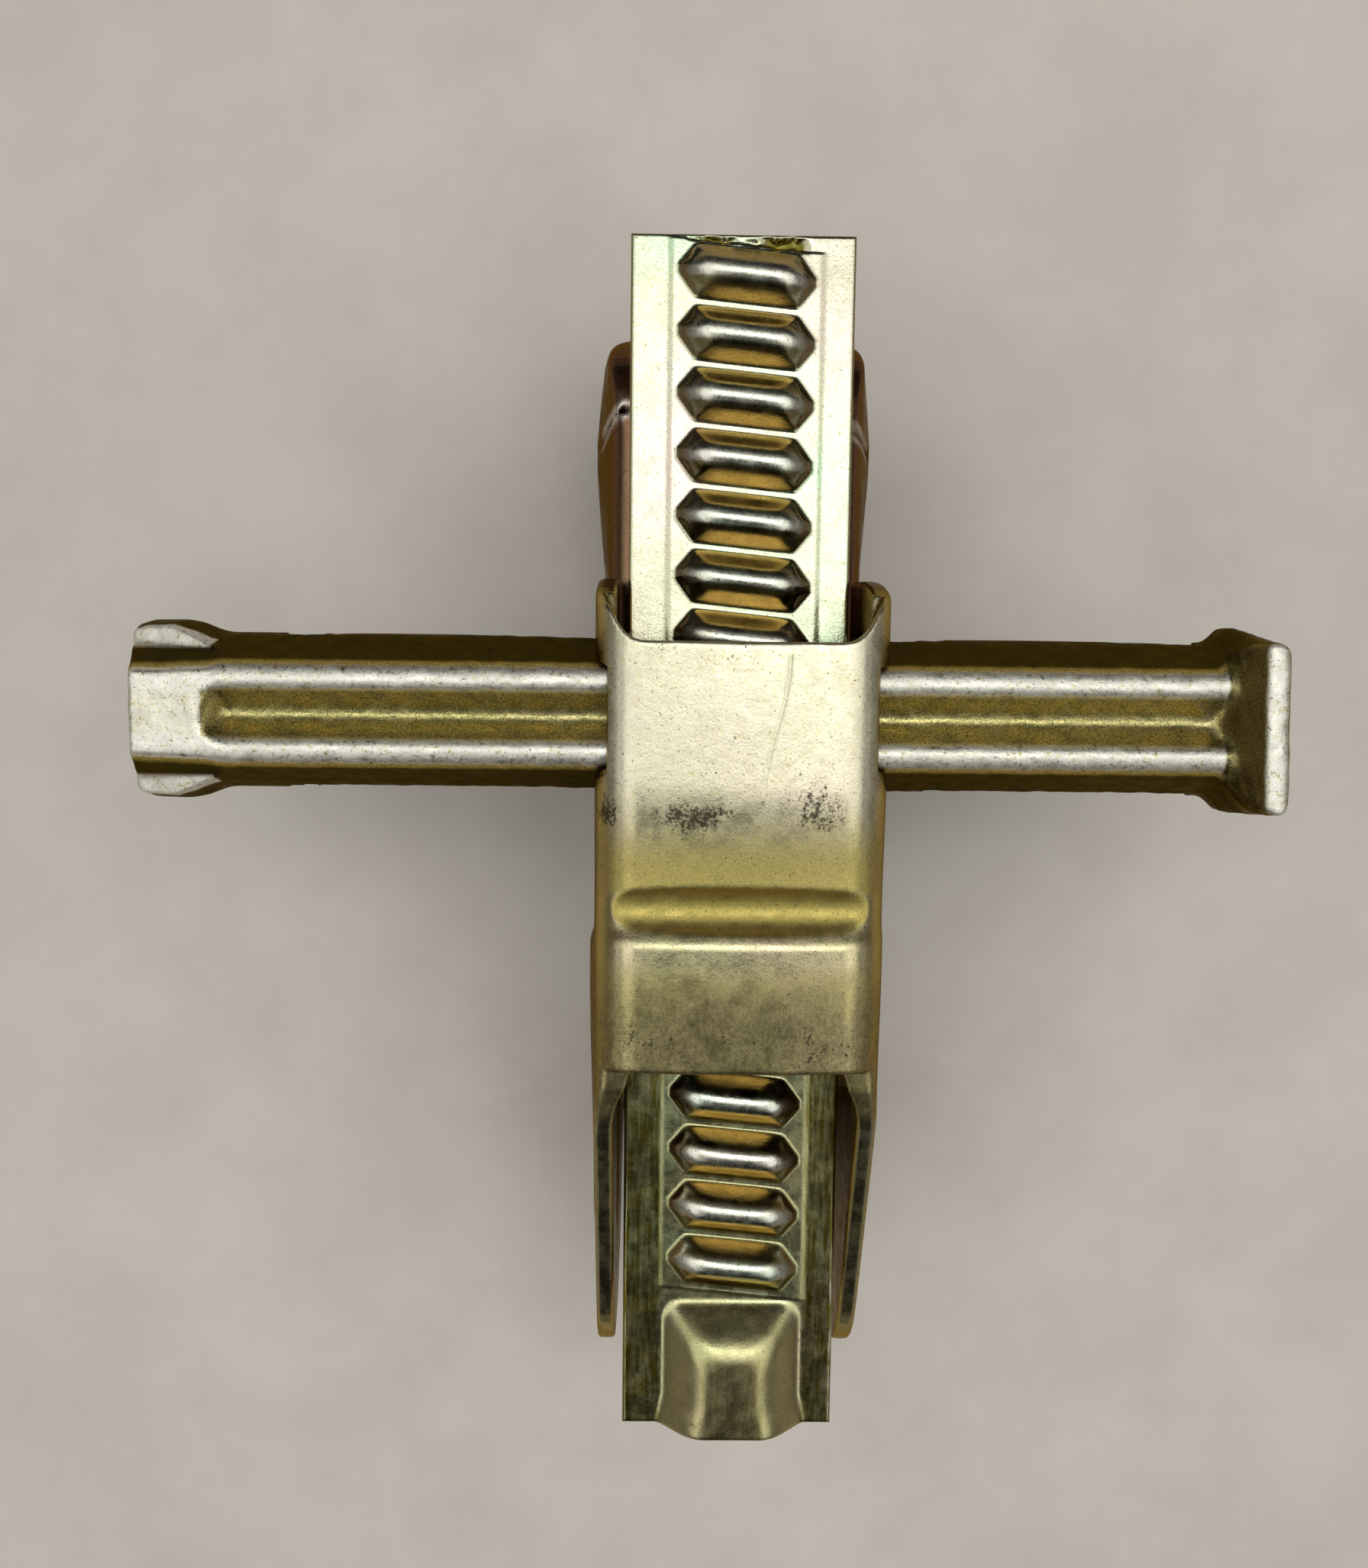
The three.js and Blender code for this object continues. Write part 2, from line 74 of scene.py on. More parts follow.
FLANGE_TOP = 102.3               # top of the rack's flat flanges
PITCH = 15.44                    # tooth pitch
FIRST_TOOTH = 93.6               # middle of the tooth nearest to the jaw end
TEETH = 18
TOOTH_SKEW = math.radians(5.6)
BAND_CENTRE = 0.9
TOOTH_RISE = 5.8                 # how far the pressed teeth stand above the flanges
TOOTH_FOOT = 7.1                 # half of a tooth's width at the flanges

WEDGE_Y = -18.5                  # centre line of the wedge
WEDGE_TOP = 128.0
BASE_HALF = 20.2                 # half of the wedge's width at its base
TOP_HALF = 11.3                  # half of its width at the top
TAIL_TOP = -150.5                # upper edge of the tail's sloping end


# ---------- shape tools ----------
def smooth_step(low, high, value):
    """0 at low and before, 1 at high and past it, with soft ends."""
    t = np.clip((value - low) / (high - low), 0, 1)
    return t * t * (3 - 2 * t)


def both(a, b, radius):
    """The solid common to a and b, its new edge rounded by about radius."""
    h = np.maximum(radius - np.abs(a - b), 0) / radius
    return np.maximum(a, b) + h * h * radius / 4


def either(a, b, radius):
    """The solid of a and b together, the corner between them filled by about radius."""
    return -both(-a, -b, radius)


def without(a, b, radius):
    """The solid a with b cut out of it."""
    return both(a, -b, radius)


def curve(start, pull, end, steps=8):
    """Points of a quadratic curve after start, up to end."""
    points = []
    for i in range(1, steps + 1):
        t = i / steps
        points.append(tuple((1 - t) ** 2 * a + 2 * t * (1 - t) * b + t * t * c
                            for a, b, c in zip(start, pull, end)))
    return points


def outline_distance(points, u, v):
    """Signed distance from (u, v) to a closed outline, negative inside it."""
    u, v = np.broadcast_arrays(u, v)
    nearest = np.full(u.shape, np.inf)
    sign = np.ones(u.shape)
    for (ax, ay), (bx, by) in zip(points, points[1:] + points[:1]):
        ex, ey = bx - ax, by - ay
        wx, wy = u - ax, v - ay
        t = np.clip((wx * ex + wy * ey) / (ex * ex + ey * ey), 0, 1)
        nearest = np.minimum(nearest, (wx - ex * t) ** 2 + (wy - ey * t) ** 2)
        above, below, left = v >= ay, v < by, ex * wy > ey * wx
        sign = np.where((above & below & left) | (~above & ~below & ~left), -sign, sign)
    return sign * np.sqrt(nearest)


def channel(x, z, half, top, radius):
    """Signed distance to an endless channel section, open below, with round upper corners."""
    across = np.abs(x) - (half - radius)
    over = z - (top - radius)
    corner = np.hypot(np.maximum(across, 0), np.maximum(over, 0))
    return corner + np.minimum(np.maximum(across, over), 0) - radius


def rod(x, y, z, start, end):
    """Distance to the straight line from start to end."""
    start, end = np.array(start, float), np.array(end, float)
    along = end - start
    wx, wy, wz = x - start[0], y - start[1], z - start[2]
    t = np.clip((wx * along[0] + wy * along[1] + wz * along[2]) / along.dot(along), 0, 1)
    return np.sqrt((wx - along[0] * t) ** 2 + (wy - along[1] * t) ** 2 + (wz - along[2] * t) ** 2)


def unevenness(x, y, z, size, seed):
    """Smooth pseudo-random waves of about the given size, between -1 and 1."""
    turns = np.random.default_rng(seed)
    total = 0.0
    waves = 7
    for _ in range(waves):
        direction = turns.normal(size=3)
        direction *= 2 * math.pi / (size * np.linalg.norm(direction)) * turns.uniform(0.7, 1.4)
        phase = turns.uniform(0, 2 * math.pi)
        total = total + np.sin(direction[0] * x + direction[1] * y + direction[2] * z + phase)
    return total / waves * 1.6


def spaced(*stops):
    """Grid lines through (place, step), (place, step), ..., (last place,)."""
    lines = []
    for (start, step), following in zip(stops, stops[1:]):
        count = max(1, round((following[0] - start) / step))
        lines += [start + (following[0] - start) * i / count for i in range(count)]
    lines.append(stops[-1][0])
    return np.array(lines)


# ---------- meshes from solids ----------
CELL_CORNERS = [(i, j, k) for i in (0, 1) for j in (0, 1) for k in (0, 1)]


def cell_points(field, grid, cells):
    """One point in each cell that the surface crosses: the mean of where it crosses the cell's edges."""
    total = np.zeros((len(cells[0]), 3))
    count = np.zeros(len(cells[0]))
    for axis in range(3):
        for corner in CELL_CORNERS:
            if corner[axis]:
                continue
            start = [c + o for c, o in zip(cells, corner)]
            end = [c + (1 if n == axis else 0) for n, c in enumerate(start)]
            a, b = field[tuple(start)], field[tuple(end)]
            crossed = (a < 0) != (b < 0)
            share = np.where(crossed, a / np.where(crossed, a - b, 1), 0)
            for n in range(3):
                low, high = grid[n][start[n]], grid[n][end[n]]
                total[:, n] += np.where(crossed, low + (high - low) * share, 0)
            count += crossed
    return total / count[:, None]


def cell_quads(field, index):
    """A quad round each grid edge that the surface crosses, facing out of the solid."""
    quads = []
    for axis in range(3):
        u, v = (axis + 1) % 3, (axis + 2) % 3
        turned = np.transpose(field, (axis, u, v))[:, 1:-1, 1:-1]
        cells = np.transpose(index, (axis, u, v))
        i, j, k = np.nonzero((turned[:-1] < 0) != (turned[1:] < 0))
        ring = np.stack([cells[i, j, k], cells[i, j + 1, k], cells[i, j + 1, k + 1], cells[i, j, k + 1]], 1)
        outward = turned[i, j, k] < 0
        quads.append(np.where(outward[:, None], ring, ring[:, ::-1]))
    return np.concatenate(quads)


def settle(points, distance, limit, rounds=3):
    """Moves points onto the surface, along the slope of the distance."""
    step = 0.04
    for _ in range(rounds):
        x, y, z = points.T
        here = distance(x, y, z)
        slope = np.stack([distance(x + step, y, z), distance(x, y + step, z), distance(x, y, z + step)], 1)
        slope = (slope - here[:, None]) / step
        move = here / np.maximum((slope ** 2).sum(1), 0.2)
        points = points - slope * np.clip(move, -limit, limit)[:, None]
    return points


def make_mesh(name, points, faces):
    """A smooth-shaded object from points in the coupler's millimetres."""
    mesh = bpy.data.meshes.new(name)
    places = points * MM + np.array(ORIGIN)
    mesh.from_pydata(places.tolist(), [], faces.tolist())
    mesh.update()
    mesh.shade_smooth()
    piece = bpy.data.objects.new(name, mesh)
    bpy.context.scene.collection.objects.link(piece)
    return piece


def solid_mesh(name, distance, xs, ys, zs):
    """The surface where the distance is zero, as a mesh with a vertex in each crossed grid cell."""
    field = distance(xs[:, None, None], ys[None, :, None], zs[None, None, :])
    field = np.ascontiguousarray(np.broadcast_to(field, (len(xs), len(ys), len(zs))), np.float32)
    inside = (field < 0).astype(np.int8)
    shape = [n - 1 for n in field.shape]
    filled = sum(inside[i:i + shape[0], j:j + shape[1], k:k + shape[2]] for i, j, k in CELL_CORNERS)
    crossed = (filled > 0) & (filled < 8)
    index = np.full(crossed.shape, -1, np.int64)
    index[crossed] = np.arange(crossed.sum())
    points = cell_points(field, (xs, ys, zs), np.nonzero(crossed))
    points = settle(points, distance, 0.5)
    return make_mesh(name, points, cell_quads(field, index)), points


def paint(piece, name, values):
    """Stores one number per vertex, for the material to read."""
    piece.data.attributes.new(name, "FLOAT", "POINT").data.foreach_set(
        "value", np.clip(values, 0, 1).astype(np.float32))


def paint_slope_shade(piece, shaded=0.0, plain=0.0):
    """Stores how steep each vertex is, for painted shade: steep_shade slopes are painted amber,
    sheer_shade and shaded ones painted brown, and plain ones stay gold."""
    normals = np.zeros(len(piece.data.vertices) * 3, np.float32)
    piece.data.vertex_normals.foreach_get("vector", normals)
    upward = normals[2::3]
    paint(piece, "steep_shade", smooth_step(0.93, 0.70, upward) * (1 - plain))
    paint(piece, "sheer_shade", np.maximum(smooth_step(0.50, 0.15, upward), shaded))


def patch(x, y, centre, reach):
    """1 at a centre, falling to 0 at about its reach in x and y."""
    return np.exp(-((x - centre[0]) / reach[0]) ** 2 - ((y - centre[1]) / reach[1]) ** 2)


# ---------- claws ----------
def claw(face, side, outer, shoulder):
    """Outline points of a claw, down its gripping face, round the nose and up its outside."""
    nose, tip_end = face - side * NOSE_REACH, face + side * TIP_LENGTH
    points = [(face, PANEL_TOP), (face, NOSE_HEIGHT), (nose, NOSE_HEIGHT - 5), (nose, 5)]
    points += [(nose + side * 4, 0), (tip_end, 0)]
    return points + curve((tip_end, 0), (outer - side * 8, 12), (outer, shoulder))


# ---------- sleeve ----------
BACK_END = -107.0                # the back plate runs from y = 0 to here
BACK_END_LOW = 127               # the cheeks' edge stands at this height where it ends
GROOVE_Y = -65.4                 # centre of the groove pressed across the back plate
GROOVE_RADIUS = 6.4
GROOVE_AXIS = 135.8
CHEEK_LOW = JAW_HIGH.z + 0.5     # lower edge of the cheeks over the rack jaw
LOW_START = -76.0                # the deep cheeks start here
ARM_BEND = (-183, 97)            # the cheeks' sloping edge turns down into the claws here
CLAW_SHOULDER, CLAW_HEEL = 73, 56
EAR_TOP, EAR_LOW = 128, 90       # the ears' upper edge curves down between these heights
EAR_FLARE = 2.5                  # the cheeks' upper end reaches this much further outside
EAR_START = 22.0                 # the back plate's edge starts to curve out here
EAR_WIDTH = 13.4                 # and reaches the ear this much further out
EAR_CURVE = 3.2                  # power of that curve
PLATE_END_LOW = 124              # the curved edge ends at this height
DIP = 2.0                        # how far the back plate dips beside its groove
TILT = 2.2                       # how far it falls towards its claw end
CROWN = 0.0016                   # how much it is crowned across, per square millimetre
SCAR_RISE = 0.28
SCAR_WIDTH = 0.38
WINDOW_PLAY = 1                  # the cheeks' windows are this much larger than the wedge


def sleeve_outline():
    """Side outline of the sleeve in (y, z), round its ears, cheeks and claws."""
    top, out, ear = SLEEVE_HIGH.z, SLEEVE_LOW.y, EAR_REACH - EAR_FLARE
    points = [(0, top)] + curve((0, top), (ear, EAR_TOP), (ear, EAR_LOW))
    points += [(ear, CHEEK_LOW), (LOW_START + 4, CHEEK_LOW)]
    points += curve((LOW_START + 4, CHEEK_LOW), (LOW_START, CHEEK_LOW), (LOW_START, CHEEK_LOW - 4), 4)
    points += [(LOW_START, PANEL_TOP)] + claw(SLEEVE_GRIP, -1, out, CLAW_HEEL)
    points += [(out, CLAW_SHOULDER)] + curve((out, CLAW_SHOULDER), (out, 88), ARM_BEND)
    return points + [(-113, 126), (BACK_END, BACK_END_LOW), (BACK_END, top + 3), (0, top + 3)]


def wedge_window():
    """The opening in the sleeve's cheeks, clear of the wedge all round."""
    low, high = WEDGE_LOW.z - WINDOW_PLAY, WEDGE_TOP + WINDOW_PLAY
    wide, narrow = BASE_HALF + WINDOW_PLAY, TOP_HALF + WINDOW_PLAY
    return [(WEDGE_Y - wide, low), (WEDGE_Y + wide, low), (WEDGE_Y + wide, low + 5),
            (WEDGE_Y + narrow, high), (WEDGE_Y - narrow, high), (WEDGE_Y - wide, low + 5)]


SLEEVE_OUTLINE = sleeve_outline()
WINDOW_OUTLINE = wedge_window()
# The long raised scar on the back plate, as points in (x, y).
SCAR = [(10.9, -2.7), (10.6, -8), (9.6, -14), (8.0, -20), (6.4, -26), (5.3, -32), (5.0, -38)]
# Sooty patches on the back plate: how strong, the centre and the reach.
SOOT_PATCHES = [(0.85, (-13, -42), (11, 6)), (0.9, (17, -40), (9, 8)), (1, (-33, -41), (4, 6)),
                (0.4, (-8, -4), (20, 6))]


def sleeve_swell(y, z):
    """How far the cheeks bulge out low down, where they bear on the panel frame."""
    along = smooth_step(LOW_START, -88, y) * (1 - 0.4 * smooth_step(-96, -165, y))
    along = along * (1 - smooth_step(-165, -193, y))
    return (SLEEVE_HIGH.x - JAW_HALF) * along * smooth_step(42, 54, z) * (1 - smooth_step(64, 82, z))


def plate_end(x, y, z):
    """Signed distance to the back plate's upright edge, which curves out into the ears."""
    reach = np.clip((np.abs(x) - EAR_START) / EAR_WIDTH, 0, 1.2)
    slope = EAR_REACH * EAR_CURVE / EAR_WIDTH * reach ** (EAR_CURVE - 1)
    edge = (y - 0.3 - EAR_REACH * reach ** EAR_CURVE) / np.sqrt(1 + slope ** 2)
    return edge - 2 * np.maximum(PLATE_END_LOW - z, 0)


def sleeve_distance(x, y, z):
    """Signed distance to the sleeve's pressed sheet, with its groove, windows, ears and scar."""
    dip = DIP * smooth_step(-34, -63, y) * smooth_step(-75, -69, y)
    tilt = TILT * smooth_step(-78, -112, y)
    crown = CROWN * np.minimum(np.abs(x), 30) ** 2
    scar = np.min([rod(x, y, 0, (*a, 0), (*b, 0)) for a, b in zip(SCAR, SCAR[1:])], 0)
    relief = SCAR_RISE * np.exp(-(scar / SCAR_WIDTH) ** 2) + 0.10 * unevenness(x, y, z, 28, 3)
    top = SLEEVE_HIGH.z - 0.5 - dip - tilt - crown + relief
    half = JAW_HALF + sleeve_swell(y, z)
    groove = np.hypot(y - GROOVE_Y, z - GROOVE_AXIS)
    outer = without(channel(x, z, half, top, BEND_RADIUS), groove - GROOVE_RADIUS, 0.7)
    inner = channel(x, z, half - SHEET, top - SHEET, BEND_RADIUS - SHEET)
    inner = without(inner, groove - GROOVE_RADIUS - SHEET, 3.0)
    shell = without(outer, inner, 0.3)
    flare = EAR_FLARE * smooth_step(EAR_START, 32, np.abs(x)) * smooth_step(-40, 0, y)
    shell = both(shell, outline_distance(SLEEVE_OUTLINE, y - flare, z), 1.3)
    shell = both(shell, plate_end(x, y, z), 0.8)
    return without(shell, outline_distance(WINDOW_OUTLINE, y, z), 1.3)


def make_sleeve():
    reach = SLEEVE_HIGH.x + 2
    xs = spaced((-reach, 0.62), (-20, 0.7), (2, 0.5), (13, 0.7), (20, 0.62), (reach,))
    ys = spaced((SLEEVE_LOW.y - 2, 1.3), (-112, 0.85), (-78, 0.62), (-42, 0.85), (-5, 0.7),
                (SLEEVE_HIGH.y + 2,))
    zs = spaced((-2, 1.7), (84, 1.3), (118, 0.62), (SLEEVE_HIGH.z + 2,))
    piece, points = solid_mesh("sleeve_pressing", sleeve_distance, xs, ys, zs)
    x, y, z = points.T
    upward = smooth_step(SLEEVE_HIGH.z - 7, SLEEVE_HIGH.z - 4, z)
    in_groove = smooth_step(0.8, 0.1, np.abs(np.hypot(y - GROOVE_Y, z - GROOVE_AXIS) - GROOVE_RADIUS))
    soot_and_shade = sum(strength * patch(x, y, centre, reach) for strength, centre, reach in SOOT_PATCHES)
    # painted shade: darker towards the claw end, added to the real soot patches
    soot_and_shade += 0.5 * smooth_step(-80, -100, y)
    paint(piece, "soot_and_shade", soot_and_shade * smooth_step(118, 126, z) * (y > BACK_END))
    paint(piece, "wear_and_highlight", 0.4 * upward * smooth_step(-58, -28, y))
    # painted shade: olive before and in the groove and on the lower plate
    olive = 0.9 * smooth_step(-38, -54, y) * smooth_step(-64, -60, y) + 0.5 * smooth_step(-76, -84, y)
    paint(piece, "matte_and_shade", np.maximum(in_groove, olive) * smooth_step(121, 124, z))
    # painted shade: the lower plate darker towards the claw end
    paint(piece, "shade", 0.42 * smooth_step(-78, -96, y) * smooth_step(121, 124, z))
    # painted shade: brown on the arms past the back plate's end
    paint_slope_shade(piece, 0.1 * smooth_step(BACK_END, BACK_END - 2, y))
    return piece


# ---------- rack ----------
LAST_VALLEY = FIRST_TOOTH - (TEETH - 0.5) * PITCH
BAND_END = FIRST_TOOTH + PITCH / 2
BAND_HALF = 18.6                 # half of the toothed band's width
BAND_RISE = 0.3                  # the band stands this much above the flanges
TOOTH_REACH = 18.8               # half of a tooth's length at its foot
FLANK_SLOPE = 1.12               # rise of a tooth's flanks per millimetre
CREST_ROUND = 8.6                # how widely its crest is rounded
CREST_DROP = 1.7                 # how much lower the ends of its crest are
DENT = 3.0                       # depth of the dent under each tooth


# Row places after the valley before a tooth, closest together at its foot.
TOOTH_MARKS = [0.25, 0.45, 0.65, 0.9, 1.25, 1.7, 2.1, 2.6, 3.1, 3.6, 4.1, 4.6, 5.1, 5.6, 6.1, 6.6, 7.15]


def rack_rows():
    """Row places along the rack, densest at each tooth's foot, and fewer where the sleeve hides them."""
    tooth = sorted({0.0, PITCH / 2} | set(TOOTH_MARKS) | {PITCH - m for m in TOOTH_MARKS})
    rows = list(spaced((RACK_LOW.y, 0.7), (-193, 0.5), (-178.5, 0.5), (LAST_VALLEY,)))[:-1]
    for k in range(TEETH):
        low = LAST_VALLEY + k * PITCH
        hidden = -95 < low < -28
        rows += [low + m for n, m in enumerate(tooth) if not (hidden and n % 2)]
    rows += list(spaced((BAND_END, 0.45), (RACK_HIGH.y,)))
    return edge_rows(np.array(rows), RACK_LOW.y, RACK_HIGH.y)


RACK_EDGE = 0.9                  # radius of the strap's edges
EDGE_STEPS = [0.0, 0.1, 0.32, 0.7]


def edge_rows(lines, low, high):
    """Replaces the first and last lines by close ones, for a rounded edge."""
    middle = lines[(lines > low + RACK_EDGE) & (lines < high - RACK_EDGE)]
    first, last = [low + step for step in EDGE_STEPS], [high - step for step in reversed(EDGE_STEPS)]
    return np.concatenate([first, middle, last])


def edge_drop(inset):
    """How far the top falls near a rounded edge."""
    near = np.clip(RACK_EDGE - inset, 0, RACK_EDGE)
    return RACK_EDGE - np.sqrt(RACK_EDGE ** 2 - near ** 2)


def tooth_place(x, y):
    """(u, v, level): distance along the tooth from the band's middle, distance down the rack from
    the nearest tooth's crest line, and the height up the rack."""
    u = x - BAND_CENTRE
    level = y + u * math.tan(TOOTH_SKEW)
    count = (BAND_END - level) / PITCH
    return u, (count - np.floor(count) - 0.5) * PITCH, level


def tooth_relief(u, v):
    """Height of a tooth: steep flanks, a round crest that sinks to its ends, and pointed ends."""
    roof = TOOTH_FOOT * FLANK_SLOPE - both(FLANK_SLOPE * v, -FLANK_SLOPE * v, CREST_ROUND)
    roof = roof - CREST_DROP * (u / 13) ** 4 * (1 - np.abs(v) / 7.2)
    ends = (0.79 * (TOOTH_REACH - np.abs(u)) - 0.62 * np.abs(v)) * 1.2
    softness = 0.6 + 2.2 * smooth_step(1.0, 3.5, np.minimum(roof, ends))
    return -both(-roof, -ends, softness)


HUMP_RISE = 9.0
HUMP_HALF = 18.5                 # half of its width at its foot, before it widens at the rack's end
HUMP_START = -180.2              # its inclined front starts here
HUMP_SKIN = -179.0               # its colours start here, and the teeth's end


def hump(x, y):
    """Height of the pressed end stop, with inclined sides, soft corners and a raised flat top."""
    spread = HUMP_HALF + 1.6 * smooth_step(-205, -215, y)
    side = (spread - np.abs(x - BAND_CENTRE)) * 0.98
    front = (HUMP_START - y) * 0.9
    mound = -both(both(-side, -front, 5), -HUMP_RISE, 3.6)
    return both(mound, 0 * mound, 0.9)


def rack_relief(x, y):
    """Height of the rack's upper face over its flanges."""
    u, v, level = tooth_place(x, y)
    band = BAND_RISE * (1 - smooth_step(BAND_HALF, BAND_HALF + 2, np.abs(u)))
    toothed = both(tooth_relief(u, v), band, 0.45)
    toothed = np.where((level > LAST_VALLEY - 1.3) & (level < BAND_END), toothed, 0)
    return np.where(y < LAST_VALLEY, np.maximum(toothed, hump(x, y)), toothed)


def torn_edge(x, y):
    """The rough torn hollows between the first tooth and the rack's end."""
    ragged = 1.1 * np.sin(x * 0.9) + 0.7 * np.sin(x * 2.3 + 1) + 0.5 * np.sin(x * 4.7)
    level = y + (x - BAND_CENTRE) * math.tan(TOOTH_SKEW)
    upper = smooth_step(103.6, 102.2, y + 0.4 * ragged)
    lower = smooth_step(100.9, 101.7, level + 0.15 * ragged)
    within = smooth_step(-18.5, -15, x) * smooth_step(18, 14, x)
    deep = 0.55 + 0.45 * np.cos((x + 9) * 0.33) + 0.12 * ragged
    return 1.7 * upper * lower * within * np.maximum(deep, 0)


def rack_underside(x, y):
    """Depth of the rack's lower face, dented under each tooth and hollow under the hump."""
    u, v, level = tooth_place(x, y)
    dent = DENT * smooth_step(14, 9, np.abs(u)) * smooth_step(4.2, 1.5, np.abs(v))
    dent = dent * (level > LAST_VALLEY) * (level < BAND_END)
    return dent - SHEET + hump(x, y) * (y < LAST_VALLEY)


def make_rack():
    """The strap as one closed grid sheet: an upper face, a lower face and the border between them."""
    half = RACK_HIGH.x
    columns = edge_rows(
        spaced((-half, 1.1), (-20.5, 0.5), (-11, 0.75), (12, 0.5), (22.5, 1.1), (half,)), -half, half)
    rows = rack_rows()
    x, level = np.meshgrid(columns, rows, indexing="ij")
    skewed = smooth_step(RACK_HIGH.y, RACK_HIGH.y - 7, level) * smooth_step(-192, -179, level)
    y = level - skewed * (x - BAND_CENTRE) * math.tan(TOOTH_SKEW)
    inset = np.minimum(half - np.abs(x), np.minimum(RACK_HIGH.y - y, y - RACK_LOW.y))
    top = rack_relief(x, y) - torn_edge(x, y) + 0.05 * unevenness(x, y, 0, 16, 5)
    top = FLANGE_TOP + top - edge_drop(inset)
    bottom = np.minimum(FLANGE_TOP + rack_underside(x, y) + edge_drop(inset), top - 2.2)
    nx, ny = x.shape
    upper = np.stack([x, y, top], -1).reshape(-1, 3)
    lower = np.stack([x, y, bottom], -1).reshape(-1, 3)
    index = np.arange(nx * ny).reshape(nx, ny)
    ring = [index[:-1, :-1], index[1:, :-1], index[1:, 1:], index[:-1, 1:]]
    faces = [np.stack([r.ravel() for r in ring], 1)]
    faces.append(faces[0][:, ::-1] + nx * ny)
    border = np.concatenate([index[:, 0], index[-1, 1:], index[-2::-1, -1], index[0, -2:0:-1]])
    following = np.roll(border, -1)
    faces.append(np.stack([border, border + nx * ny, following + nx * ny, following], 1))
    piece = make_mesh("rack_pressing", np.concatenate([upper, lower]), np.concatenate(faces))
    paint_rack(piece, *np.concatenate([upper, lower]).T)
    return piece


def paint_rack(piece, x, y, z):
    """Painted shade, darker olive, on the flanges and flats towards the end stop and bare edges there,
    crests rubbed and whitened as painted highlight with painted shade beside them, brown painted-shade ends
    on the teeth, and the dark tear at the other end."""
    u, v, _ = tooth_place(x, y)
    length = np.abs(u)
    lower_part = smooth_step(-70, -112, y)
    flat = smooth_step(FLANGE_TOP + 1.2, FLANGE_TOP + 0.6, z)
    flat = flat * smooth_step(FLANGE_TOP - 0.6, FLANGE_TOP - 0.2, z)
    flange = smooth_step(BAND_HALF, 20.4, length) * flat
    raised = smooth_step(FLANGE_TOP + 0.5, FLANGE_TOP + 1.5, z) * (y > HUMP_SKIN)
    tear = np.clip(torn_edge(x, y) / 0.9, 0, 1)
    hump_skin = (y < HUMP_SKIN) * smooth_step(FLANGE_TOP, FLANGE_TOP + 3, z)
    stains = patch(x, y, (-8, -211), (5, 4)) + patch(x, y, (-24, -205), (3, 4))
    # painted shade on the lower flanges, with real stains and the tear
    paint(piece, "soot_and_shade", 0.3 * flange * lower_part + 0.6 * stains + tear)

    near_crest = smooth_step(FLANGE_TOP + 2.0, FLANGE_TOP + 3.4, z) * raised
    # painted shade: the lower flanges and flats, a dark line beside each crest highlight, and the hump's
    # top
    shade = 0.85 * flange * lower_part + 0.25 * lower_part * flat * (1 - flange) * (y > HUMP_SKIN)
    shade += 0.60 * np.exp(-((v - 2.3) / 0.45) ** 2) * (1 - lower_part) * near_crest
    shade += 0.30 * np.exp(-((v + 3.4) / 0.5) ** 2) * lower_part * near_crest
    shade += 0.45 * hump_skin * smooth_step(10, 7, length) * smooth_step(-190, -196, y) + 0.8 * tear
    paint(piece, "shade", shade)

    edge_wear = 0.7 * smooth_step(RACK_HIGH.x - 1.4, RACK_HIGH.x - 0.5, x) * smooth_step(-150, -165, y)
    # crests whitened as wear and as painted highlight
    crest = smooth_step(2.6, 1.6, np.abs(v)) * near_crest
    paint(piece, "wear_and_highlight", edge_wear + 0.55 * crest)
    # painted shade: olive on the hump and the lower flats
    paint(piece, "matte_and_shade", 0.5 * hump_skin + 0.35 * lower_part * flat)
    # painted shade: brown at the teeth's ends
    tips = smooth_step(13.5, 16, length) * raised
    paint_slope_shade(piece, 0.6 * tips, 0.45 * hump_skin)


# ---------- rack jaw ----------
JAW_HEEL = 50                    # lower end of the channel's outer wall above the claws
JAW_SHOULDER = (72, 80)          # the outer wall bends over into the top here
JAW_TOP_END = 54                 # the flat top ends here


def jaw_outline(shrink):
    """Side outline of the rack jaw's channel, or of its hollow when shrunk, which runs out past
    the channel's open inner end and lower side."""
    top, out = JAW_HIGH.z - shrink, JAW_HIGH.y - shrink
    past_end, past_side = (20, 80) if shrink else (0, 0)
    low, side = JAW_LOW.y - past_end, PANEL_TOP - past_side
    points = [(low, top), (low, side)]
    if shrink:
        points += [(out, side), (out, JAW_HEEL)]
    else:
        points += claw(RACK_GRIP, 1, out, JAW_HEEL)
    shoulder_y = JAW_SHOULDER[0] - shrink * 0.6
    shoulder = (shoulder_y, JAW_SHOULDER[1] - shrink)
    points += curve((out, JAW_HEEL), (out, shoulder_y), shoulder)
    return points + curve(shoulder, (64, top), (JAW_TOP_END - shrink, top))


JAW_OUTLINE = jaw_outline(0)
JAW_HOLLOW = jaw_outline(SHEET)
# The folds beside the bends, each from its start to its end.
CREASE = [((-29.7, 64.4, 84.6), (-38.8, 55.0, 69.0)), ((31.4, 59.1, 84.6), (37.6, 53.0, 69.0))]
CREASE_RADIUS = 0.8

# How far the cheeks bulge out, at places along y.
JAW_SWELL = [(2, 0), (14, 0.7), (32, 2.4), (48, 3.6), (57, 3.7), (65, 3.0), (72, 2.3), (78, 1.6), (88, 0.6)]


def jaw_swell(y, z):
    """How far the jaw's cheeks bulge out where they bear on the panel frame."""
    along = np.interp(y, [place for place, _ in JAW_SWELL], [bulge for _, bulge in JAW_SWELL])
    return along * smooth_step(40, 54, z) * (1 - smooth_step(64, 80, z))


